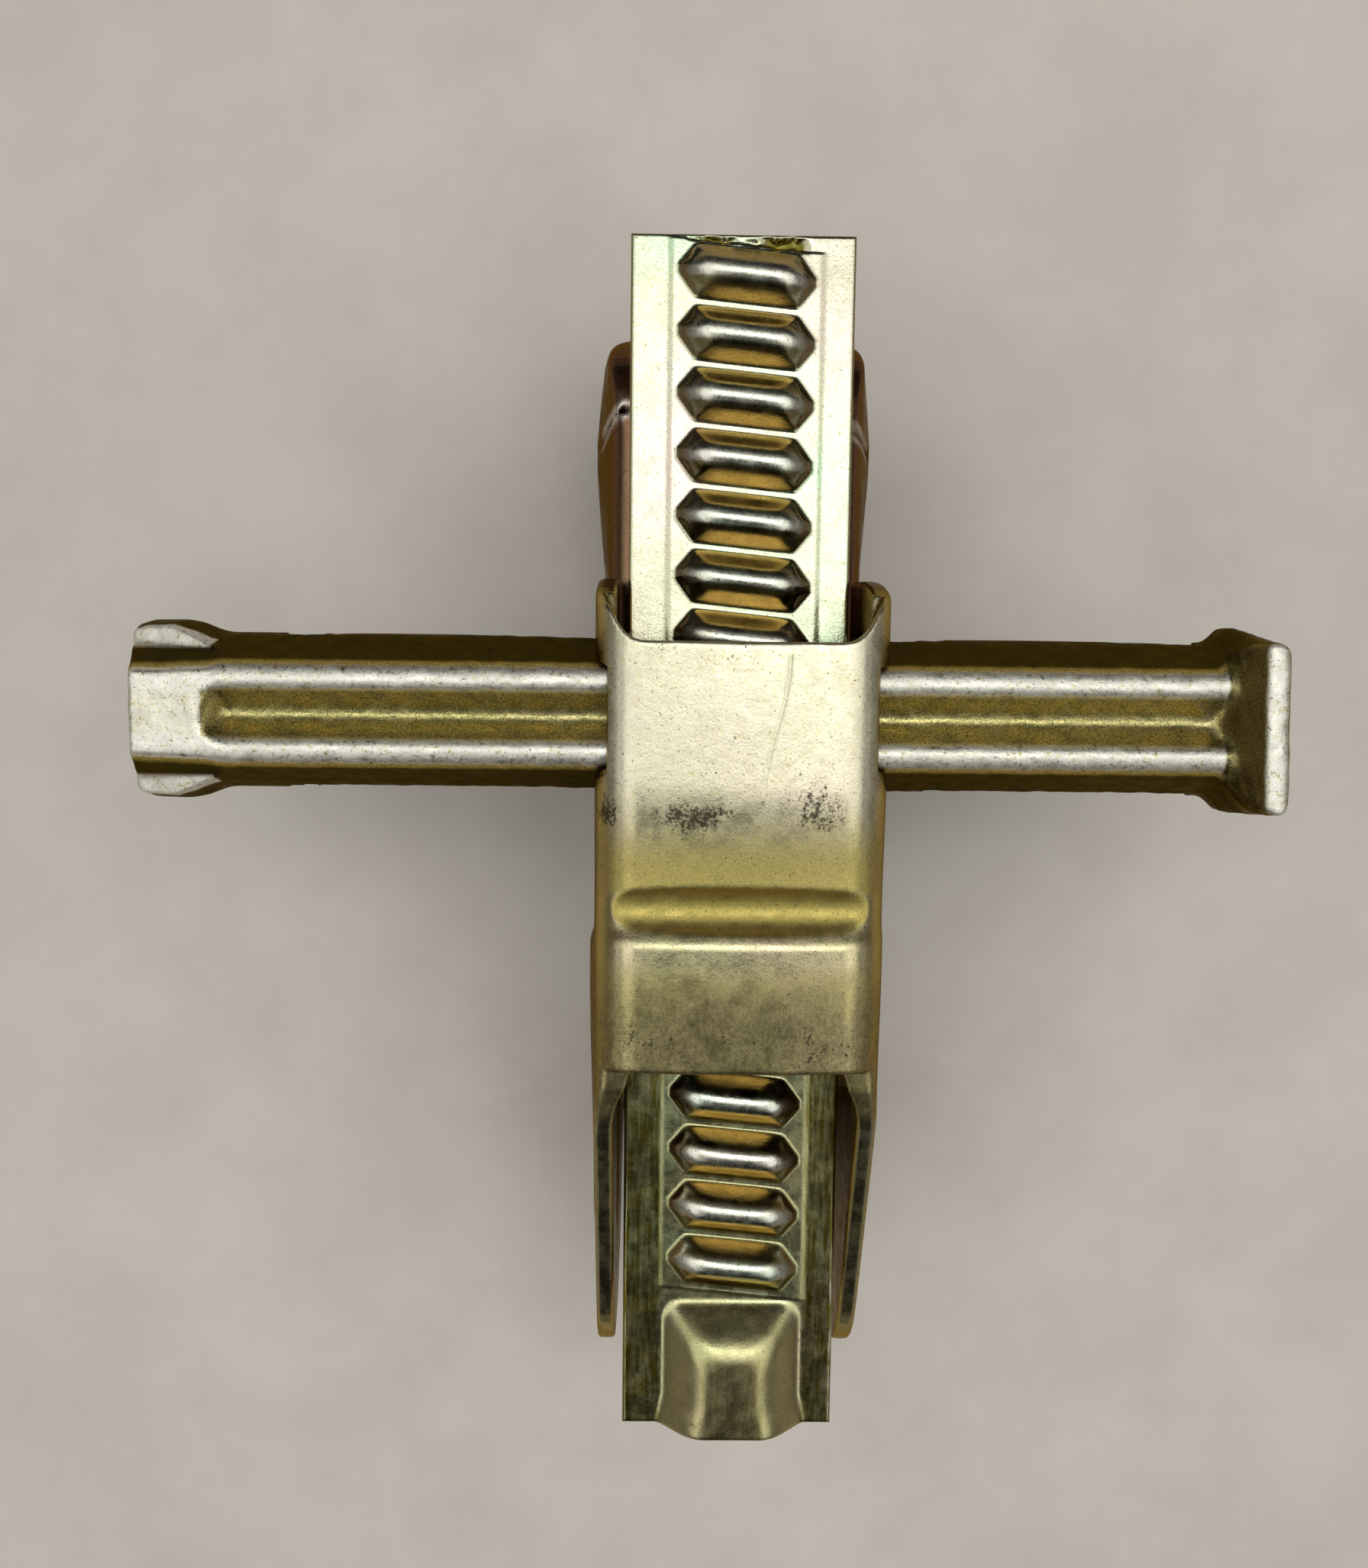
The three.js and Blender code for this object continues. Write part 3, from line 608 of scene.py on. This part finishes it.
def end_plan(x, y, half, out, radius):
    """Signed distance to the plan outline that closes the channel's outer end."""
    across = np.abs(x) - (half - radius)
    over = y - (out - radius)
    corner = np.hypot(np.maximum(across, 0), np.maximum(over, 0))
    return corner + np.minimum(np.maximum(across, over), 0) - radius


def jaw_distance(x, y, z):
    """Signed distance to the rack jaw's pressed sheet, with its bulging cheeks and its folds."""
    half = JAW_HALF + jaw_swell(y, z)
    top = JAW_HIGH.z - 0.3 + 0.12 * unevenness(x, y, z, 26, 8)
    outer = both(channel(x, z, half, top, BEND_RADIUS), end_plan(x, y, half, JAW_HIGH.y - 0.2, 12), 5)
    outer = both(outer, outline_distance(JAW_OUTLINE, y, z), 2.2)
    inner = both(channel(x, z, half - SHEET, top - SHEET, BEND_RADIUS - SHEET),
                 end_plan(x, y, half - SHEET, JAW_HIGH.y - SHEET, 8), 3)
    inner = both(inner, outline_distance(JAW_HOLLOW, y, z), 2.0)
    shell = without(outer, inner, 1.0)
    for start, end in CREASE:
        shell = without(shell, rod(x, y, z, start, end) - CREASE_RADIUS, 1.0)
    return shell


def make_jaw():
    reach = JAW_HALF + 6
    xs = spaced((-reach, 0.75), (-28, 1.3), (28, 0.75), (reach,))
    ys = spaced((JAW_LOW.y - 2, 1.5), (20, 0.8), (JAW_HIGH.y + 2,))
    zs = spaced((-2, 1.5), (44, 0.8), (JAW_HIGH.z + 2,))
    piece, points = solid_mesh("rack_jaw_pressing", jaw_distance, xs, ys, zs)
    x, y, z = points.T
    near = np.min([rod(x, y, z, a, b) for a, b in CREASE], 0)
    # painted highlight: a pale stroke beside each fold
    stroke = smooth_step(70, 73, z) * np.exp(-((near - 1.8) / 0.9) ** 2)
    paint(piece, "wear_and_highlight", 0.6 * stroke)
    # painted shade: darker towards the inner end under the rack and along the folds
    paint(piece, "soot_and_shade", 0.35 * smooth_step(52, 40, y) + 0.8 * np.exp(-(near / 0.9) ** 2))
    paint_slope_shade(piece)
    return piece


# ---------- wedge ----------
FLANK_LOW = 106.3                # the bar's inclined flanks start here
FLANK_ACROSS, FLANK_UP = 0.931, 0.364  # cosine and sine of their lean, 21.4 degrees
TAIL_CUT_HALF = 9.6              # half width of the top where the tail's corners are cut off
GROOVE_START = -126.5            # tail end of the groove along the top
GROOVE_FLOOR = 122.6
TAIL_EAR_HALF = 23.4             # half of the width over the tail's ears
TAIL_EAR_END = -132.7            # the ears and their facets end here
FACET_HEIGHT = 114.5             # height of the ears' flat facets
HEAD_START = 119.5
HEAD_HALF = 25.4                 # half of the head's width at its foot
HEAD_TOP_HALF = 20.6
HEAD_FACE = 127.0                # the head's inclined inner face leaves its top edge here
SLOT_HALF = 7.45                 # half of a slot's width at the flanges, for the rack's teeth
SLOT_REACH = 118


def ear_plan():
    """Plan outline of the tail with its two ears, at the height of their facets, in
    (x, distance from the centre line)."""
    left, end = WEDGE_LOW.x - 3, TAIL_EAR_END
    return [(left, 17), (WEDGE_LOW.x + 2, 19.6), (WEDGE_LOW.x + 6, 21.0), (WEDGE_LOW.x + 13, 21.3),
            (end - 6.5, 20.0), (end, 17.4), (end + 7, 14.0), (end + 7, -1), (left, -1)]


EAR_PLAN = ear_plan()


def tail_end(x, z):
    """Signed distance to the tail's sloping end."""
    lean = (TAIL_TOP - WEDGE_LOW.x) / (WEDGE_TOP - WEDGE_LOW.z - 2)
    return (WEDGE_LOW.x + 0.5 - x + lean * np.maximum(z - WEDGE_LOW.z - 2, 0)) * 0.97


def wedge_bar(x, side, z):
    """The bar's section: a flat base, two inclined flanks and a narrow top, narrower at the tail."""
    flank = FLANK_ACROSS * (side - BASE_HALF) + FLANK_UP * (z - FLANK_LOW)
    bar = both(flank, side - BASE_HALF, 1.5)
    bar = both(bar, z - WEDGE_TOP + 0.15, 3.4)
    tail_cut = 0.866 * (side - TAIL_CUT_HALF) + 0.5 * (z - WEDGE_TOP) - 0.028 * (x + 156)
    return both(bar, tail_cut - 2.5 * smooth_step(-134, -122, x), 0.6)


def top_groove(x, side, z):
    """The rounded groove along the top, negative in the open space above its floor."""
    start = np.maximum(GROOVE_START - x, 0)
    reach = np.hypot(side, start)
    floor = GROOVE_FLOOR + np.sqrt((0.92 * reach) ** 2 + 1.8 ** 2) - 1.8
    return (floor - z) * 0.75


def wedge_ears(x, side, z):
    """The two ears at the tail, each with a flat facet that runs out along the flank."""
    facet = (z - FACET_HEIGHT - 0.2 * (x + 152) + 0.15 * (side - 17)) * 0.97
    ear = outline_distance(EAR_PLAN, x, side) - 0.22 * (115 - z)
    return both(both(ear, side - TAIL_EAR_HALF, 1.2), facet, 0.5)


def wedge_head(x, across, side, z):
    """The flared hammer head: a wide foot, a sloping inner face and a narrower top edge."""
    x = x + 0.03 * (across + 20)
    foot = HEAD_HALF - 0.55 * np.maximum(x - 126.5, 0)
    half = foot + (HEAD_TOP_HALF - 0.06 * across - foot) * np.clip((z - 110) / 26, 0, 1)
    start = (HEAD_START + 4.2 - x) * 0.9 + 0.5 * (side - BASE_HALF)
    head = both((side - half) * 0.95, start, 5)
    incline = 0.5 * (z - WEDGE_HIGH.z) - 0.866 * (x - HEAD_FACE)
    head = both(head, incline, 1.6)
    head = both(head, z - WEDGE_HIGH.z + 0.15, 1.4)
    return both(head, x - WEDGE_HIGH.x + 0.2 + 0.03 * (WEDGE_HIGH.z - z), 4.0)


def wedge_distance(x, y, z):
    """Signed distance to the forging: bar, tail ears and head, with slots below for the teeth."""
    across = y - WEDGE_Y
    side = np.abs(across)
    bar = both(wedge_bar(x, side, z), x - HEAD_START - 6, 1.2)
    bar = without(bar, top_groove(x, side, z), 0.9)
    forging = either(bar, wedge_ears(x, side, z), 1.0)
    forging = either(forging, wedge_head(x, across, side, z), 2.5)
    forging = both(forging, tail_end(x, z), 1.2)
    forging = both(forging, WEDGE_LOW.z - z + 0.05, 1.0)
    u, v, _ = tooth_place(x, y)
    slot = (np.abs(v) - SLOT_HALF + 0.75 * (z - FLANGE_TOP)) * 0.8
    slot = np.maximum(slot, z - FLANGE_TOP - TOOTH_RISE - 0.5)
    slot = np.maximum(slot, np.abs(u) - SLOT_REACH)
    forging = without(forging, slot, 0.5)
    skin = 0.10 * unevenness(x, y, z, 9, 11) + 0.07 * unevenness(x, y, z, 4, 12)
    return forging + skin * smooth_step(104, 106, z)


def make_wedge():
    left, right = WEDGE_LOW.x - 2, WEDGE_HIGH.x + 2
    xs = spaced((left, 0.62), (-124, 1.1), (112, 0.62), (right,))
    ys = spaced((WEDGE_Y - HEAD_HALF - 2, 0.62), (WEDGE_Y + HEAD_HALF + 2,))
    zs = spaced((WEDGE_LOW.z - 2, 0.62), (WEDGE_HIGH.z + 2,))
    piece, points = solid_mesh("wedge_forging", wedge_distance, xs, ys, zs)
    x, y, z = points.T
    side = np.abs(y - WEDGE_Y)
    bar = (x > TAIL_EAR_END) & (x < HEAD_START)
    # wear together with painted highlight on the top edges, the head's rim, the ear facets and the tail
    crest = smooth_step(WEDGE_TOP - 2.4, WEDGE_TOP - 0.8, z) * smooth_step(5.0, 6.5, side)
    rim = smooth_step(WEDGE_HIGH.z - 1.5, WEDGE_HIGH.z - 0.6, z)
    facet = smooth_step(15.5, 17, side) * smooth_step(112.5, 113.5, z) * (x < TAIL_EAR_END)
    tail = smooth_step(WEDGE_TOP - 2.4, WEDGE_TOP - 0.8, z) * (x < TAIL_EAR_END)
    paint(piece, "wear_and_highlight", crest * (x < HEAD_START) + rim + facet + 0.8 * tail)
    # painted shade: darker olive flanks
    flank = smooth_step(WEDGE_TOP - 2.5, WEDGE_TOP - 5, z) * (side > 8)
    paint(piece, "soot_and_shade", 0.35 * flank * bar)
    paint(piece, "matte_and_shade", 0.5 * flank)
    # painted shade: brown flanks and head
    paint_slope_shade(piece, np.maximum(flank * (1 - facet), 0.6 * (x > HEAD_START) * (1 - rim)))
    return piece


# ---------- materials ----------
class Nodes:
    """Short calls for building one material's node tree."""

    def __init__(self, name):
        self.material = bpy.data.materials.new(name)
        self.material.use_nodes = True
        self.tree = self.material.node_tree
        self.shader = self.tree.nodes["Principled BSDF"]

    def add(self, kind, settings=None, **inputs):
        node = self.tree.nodes.new(kind)
        for key, value in (settings or {}).items():
            setattr(node, key, value)
        for key, value in inputs.items():
            self.join(value, node.inputs[key.replace("_", " ")])
        return node

    def join(self, value, socket):
        if isinstance(value, bpy.types.NodeSocket):
            self.tree.links.new(value, socket)
        else:
            socket.default_value = value

    def place(self, stretch=(1, 1, 1)):
        """Place on the object, in metres, with each axis stretched."""
        where = self.add("ShaderNodeTexCoord").outputs["Object"]
        scaled = self.add("ShaderNodeVectorMath", {"operation": "MULTIPLY"})
        self.join(where, scaled.inputs[0])
        scaled.inputs[1].default_value = stretch
        return scaled.outputs[0]

    def noise(self, size, detail=3.0, roughness=0.6, stretch=(1, 1, 1)):
        """Noise with features of about the given size in millimetres."""
        return self.add("ShaderNodeTexNoise", Vector=self.place(stretch), Scale=1000 / size, Detail=detail,
                        Roughness=roughness).outputs["Fac"]

    def spread(self, value, low, high, to_low=0.0, to_high=1.0):
        """The value, mapped from low..high to another range and held inside it."""
        return self.add("ShaderNodeMapRange", {"interpolation_type": "SMOOTHSTEP"}, Value=value,
                        From_Min=low, From_Max=high, To_Min=to_low, To_Max=to_high).outputs[0]

    def math(self, operation, a, b):
        node = self.add("ShaderNodeMath", {"operation": operation})
        self.join(a, node.inputs[0])
        self.join(b, node.inputs[1])
        return node.outputs[0]

    def mix(self, share, a, b):
        node = self.add("ShaderNodeMix", {"data_type": "RGBA"})
        self.join(share, node.inputs["Factor"])
        self.join(a, node.inputs["A"])
        self.join(b, node.inputs["B"])
        return node.outputs["Result"]

    def mask(self, name):
        return self.add("ShaderNodeAttribute", {"attribute_name": name}).outputs["Fac"]


def colour(red, green, blue):
    return (red, green, blue, 1.0)


GRAIN_SIZE = 0.45                # sizes of the plating's features, in millimetres
WEAR_SIZE = 1.3
SPECK_SIZE = 0.75
SOOT_AND_SHADE_SIZES = (0.8, 4.5)
STREAK_SIZE = 1.0
BUMP_SIZES = (0.55, 3.2)

WORN_AND_HIGHLIGHT = colour(0.93, 0.91, 0.84)
OLIVE_SHADE = colour(0.55, 0.45, 0.13)
EDGE = colour(0.62, 0.52, 0.36)


def zinc(name, gold, tint_a, tint_b, amber_shade, brown_shade, dark, roughness, grain=1.0, streak=(1, 0.6, 1)):
    """Yellow zinc plating: gold with faint tints, painted amber shade where it is steep and painted brown
    shade where it is sheer, fine grain, dark specks, worn places that also carry painted highlights, and
    sooty and matte places that also carry painted shade."""
    n = Nodes(name)
    tint = n.mix(n.spread(n.noise(26, 1), 0.35, 0.70), gold, tint_a)
    tint = n.mix(n.spread(n.noise(37, 1, stretch=(1, 0.6, 1)), 0.42, 0.75), tint, tint_b)
    # painted shade: olive in and before the sleeve's groove, on its lower plate, the rack's lower flats,
    # the hump and the wedge's flanks; the same mask also makes them rougher
    tint = n.mix(n.mask("matte_and_shade"), tint, OLIVE_SHADE)
    # painted shade: amber on steep slopes and brown on sheer ones, set by each vertex's slope
    tint = n.mix(n.mask("steep_shade"), tint, amber_shade)
    tint = n.mix(n.mask("sheer_shade"), tint, brown_shade)
    tint = n.mix(n.spread(n.noise(GRAIN_SIZE, 2, 0.5), 0.35, 0.68, 0.0, 0.30 * grain), tint, dark)
    # rubbed places, whitened also as painted highlight on the teeth's crests, beside the jaw's folds and on
    # the wedge's facets
    wear_and_highlight_noise = n.noise(WEAR_SIZE, 4, 0.7)
    wear_and_highlight = n.math("MULTIPLY", n.mask("wear_and_highlight"), n.spread(wear_and_highlight_noise, 0.28, 0.5))
    tint = n.mix(n.math("MULTIPLY", wear_and_highlight, 0.85), tint, WORN_AND_HIGHLIGHT)
    speck = n.spread(n.noise(SPECK_SIZE, 2, 0.5), 0.66, 0.72, 0.0, 0.75)
    # real sooty stains together with painted shade in the folds, on the flanks and on the lower plates
    soot_and_shade_noise = n.math("ADD", n.math("MULTIPLY", n.noise(SOOT_AND_SHADE_SIZES[0], 3, 0.7), 0.5),
                        n.math("MULTIPLY", n.noise(SOOT_AND_SHADE_SIZES[1], 3, 0.7, (1, 0.45, 1)), 0.5))
    soot_and_shade = n.spread(n.math("ADD", soot_and_shade_noise, n.math("MULTIPLY", n.mask("soot_and_shade"), 0.34)), 0.69, 0.80)
    soot_and_shade = n.math("MULTIPLY", soot_and_shade, n.spread(n.mask("soot_and_shade"), 0.0, 0.25))
    streaks = n.spread(n.noise(STREAK_SIZE, 3, 0.6, streak), 0.30, 0.70, 0.45, 1.25)
    # painted shade: the shade mask, broken by streaks, darkens towards the dark colour
    shade = n.math("MAXIMUM", n.math("MAXIMUM", soot_and_shade, speck), n.math("MULTIPLY", n.mask("shade"), streaks))
    n.join(n.mix(shade, tint, dark), n.shader.inputs["Base Color"])
    n.shader.inputs["Metallic"].default_value = 1.0
    n.shader.inputs["Specular Tint"].default_value = EDGE
    rough = n.spread(n.noise(5, 4), 0.3, 0.7, roughness - 0.05, roughness + 0.09)
    rough = n.math("ADD", rough, n.math("MULTIPLY", n.math("MAXIMUM", soot_and_shade, wear_and_highlight), 0.14))
    rough = n.math("ADD", rough, n.math("MULTIPLY", n.mask("matte_and_shade"), 0.22))
    n.join(rough, n.shader.inputs["Roughness"])
    fine = n.math("MULTIPLY", n.noise(BUMP_SIZES[0], 3, 0.6), 0.035 * grain)
    coarse = n.math("MULTIPLY", n.noise(BUMP_SIZES[1], 3, 0.5), 0.05 * grain)
    height = n.math("ADD", fine, coarse)
    height = n.math("ADD", height, n.math("MULTIPLY", wear_and_highlight_noise, n.math("MULTIPLY", n.mask("wear_and_highlight"), 0.09)))
    bump = n.add("ShaderNodeBump", Height=height, Strength=1.0, Distance=MM)
    n.join(bump.outputs[0], n.shader.inputs["Normal"])
    return n.material


def dress(piece, material):
    piece.data.materials.clear()
    piece.data.materials.append(material)


def bevel(piece, width):
    soft = piece.modifiers.new("rounded_edges", "BEVEL")
    soft.width = width * MM
    soft.segments = 3
    soft.limit_method = "ANGLE"


# ---------- stage ----------
def make_floor():
    bpy.ops.mesh.primitive_plane_add(size=8, location=(0, 0, 0))
    floor = bpy.context.object
    floor.name = "floor"
    n = Nodes("pale_floor")
    tint = n.mix(n.spread(n.noise(60, 4), 0.3, 0.7), colour(0.66, 0.60, 0.54), colour(0.73, 0.67, 0.60))
    n.join(tint, n.shader.inputs["Base Color"])
    n.shader.inputs["Roughness"].default_value = 0.7
    dress(floor, n.material)


def make_world():
    """A soft studio dome, bright overhead, dimmer low down and far out towards +Y, with a dark
    patch towards -Y between the two sides."""
    world = bpy.data.worlds.new("studio")
    bpy.context.scene.world = world
    world.use_nodes = True
    tree = world.node_tree
    add, link = tree.nodes.new, tree.links.new

    def math_node(operation, a, b=None):
        node = add("ShaderNodeMath")
        node.operation = operation
        link(a, node.inputs[0])
        if b is not None:
            link(b, node.inputs[1])
        return node.outputs[0]

    def ramp(value, low, high, to_low=0.0, to_high=1.0):
        node = add("ShaderNodeMapRange")
        node.interpolation_type = "SMOOTHSTEP"
        link(value, node.inputs["Value"])
        for key, number in zip(("From Min", "From Max", "To Min", "To Max"), (low, high, to_low, to_high)):
            node.inputs[key].default_value = number
        return node.outputs[0]

    split = add("ShaderNodeSeparateXYZ")
    link(add("ShaderNodeTexCoord").outputs["Generated"], split.inputs[0])
    x, y, z = split.outputs
    low_light, high_light, far_light = 0.20, 1.35, 0.12
    height = ramp(z, 0.46, 0.76, low_light, high_light)
    shadow = math_node("MULTIPLY", ramp(y, 0.0, -0.30), ramp(math_node("ABSOLUTE", x), 0.42, 0.20))
    strength = math_node("MULTIPLY", height, ramp(shadow, 0.0, 1.0, 1.0, 0.03))
    strength = math_node("MULTIPLY", strength, ramp(y, 0.38, 0.60, 1.0, far_light))
    background = tree.nodes["Background"]
    background.inputs["Color"].default_value = colour(0.99, 1.0, 0.98)
    link(strength, background.inputs["Strength"])


def area_light(name, place, size, power, aim):
    light = bpy.data.lights.new(name, "AREA")
    light.shape = "RECTANGLE"
    light.size, light.size_y = size
    light.energy = power
    lamp = bpy.data.objects.new(name, light)
    lamp.location = place
    lamp.rotation_euler = (Vector(aim) - Vector(place)).to_track_quat("-Z", "Y").to_euler()
    bpy.context.scene.collection.objects.link(lamp)


def make_lights():
    area_light("key", (0.15, 0.32, 1.6), (0.9, 0.5), 2.5, (0, 0, 0))


CAMERA_PLACE = Vector((-20.9, -3.4, 457.0))
LENS = 30.85                     # focal length for a 36 mm wide sensor
LENS_SHIFT = 0.0068


def make_camera():
    """Nearly straight down on the coupler, as the photographer held it."""
    tilt, pan, roll = -0.0949, -0.0121, 0.0099
    turn = Matrix.Rotation(tilt, 4, "X") @ Matrix.Rotation(pan, 4, "Y") @ Matrix.Rotation(roll, 4, "Z")
    data = bpy.data.cameras.new("camera")
    data.sensor_width = 36
    data.lens = LENS
    data.shift_x = LENS_SHIFT
    data.clip_start = 0.01
    camera = bpy.data.objects.new("camera", data)
    camera.matrix_world = Matrix.Translation(ORIGIN + CAMERA_PLACE * MM) @ turn
    bpy.context.scene.collection.objects.link(camera)
    bpy.context.scene.camera = camera


# ---------- assembly ----------
bpy.context.scene.view_settings.view_transform = "Standard"
SLEEVE_GOLD = zinc(
    "sleeve_gold", roughness=0.25,
    gold=colour(0.66, 0.59, 0.32), tint_a=colour(0.68, 0.57, 0.37), tint_b=colour(0.62, 0.61, 0.32),
    amber_shade=colour(0.46, 0.35, 0.13), brown_shade=colour(0.14, 0.085, 0.04), dark=colour(0.09, 0.07, 0.045))
RACK_GOLD = zinc(
    "rack_gold", roughness=0.18, streak=(1, 0.1, 1),
    gold=colour(0.52, 0.53, 0.37), tint_a=colour(0.43, 0.56, 0.39), tint_b=colour(0.57, 0.48, 0.41),
    amber_shade=colour(0.46, 0.36, 0.17), brown_shade=colour(0.36, 0.20, 0.11), dark=colour(0.15, 0.125, 0.020))
FORGED_GOLD = zinc(
    "forged_gold", roughness=0.33, grain=2.0,
    gold=colour(0.62, 0.55, 0.22), tint_a=colour(0.56, 0.50, 0.19), tint_b=colour(0.60, 0.52, 0.24),
    amber_shade=colour(0.56, 0.44, 0.14), brown_shade=colour(0.062, 0.050, 0.021), dark=colour(0.03, 0.026, 0.012))
# dark bronze tint, its colours lowered further as painted shade under the rack
SHADED_BRONZE = zinc(
    "bronze_gold_in_shade", roughness=0.26,
    gold=colour(0.24, 0.15, 0.085), tint_a=colour(0.23, 0.11, 0.065), tint_b=colour(0.24, 0.18, 0.10),
    amber_shade=colour(0.17, 0.09, 0.05), brown_shade=colour(0.12, 0.065, 0.032), dark=colour(0.05, 0.03, 0.015))
WELD = zinc(
    "weld_gold", roughness=0.42, grain=2.0,
    gold=colour(0.46, 0.38, 0.18), tint_a=colour(0.40, 0.30, 0.16), tint_b=colour(0.50, 0.42, 0.24),
    amber_shade=colour(0.38, 0.28, 0.12), brown_shade=colour(0.24, 0.16, 0.08), dark=colour(0.08, 0.06, 0.03))

BUILT = [
    (make_sleeve, SLEEVE_GOLD, "sleeve", "sleeve_shell", "sleeve_zinc"),
    (make_rack, RACK_GOLD, "rack_jaw", "rack_strap", "rack_zinc"),
    (make_jaw, SHADED_BRONZE, "rack_jaw", "rack_jaw_shell", "jaw_bronze_zinc"),
    (make_wedge, FORGED_GOLD, "wedge", "wedge", "wedge_zinc"),
]
for make, material, body, node, slot in BUILT:
    piece = make()
    dress(piece, material)
    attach(piece, body)
    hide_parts(node)
    print(piece.name, len(piece.data.polygons), "faces")

PLATES = {"sleeve_floor_plate": SLEEVE_GOLD, "sleeve_claw_plate": SLEEVE_GOLD, "rack_spacer": SHADED_BRONZE,
          "rack_claw_plate": SHADED_BRONZE}
REPLACED = {row[3] for row in BUILT}
for node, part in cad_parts.items():
    if node not in REPLACED:
        dress(part, PLATES.get(node, WELD))
        bevel(part, 0.6)

make_floor()
make_world()
make_lights()
make_camera()
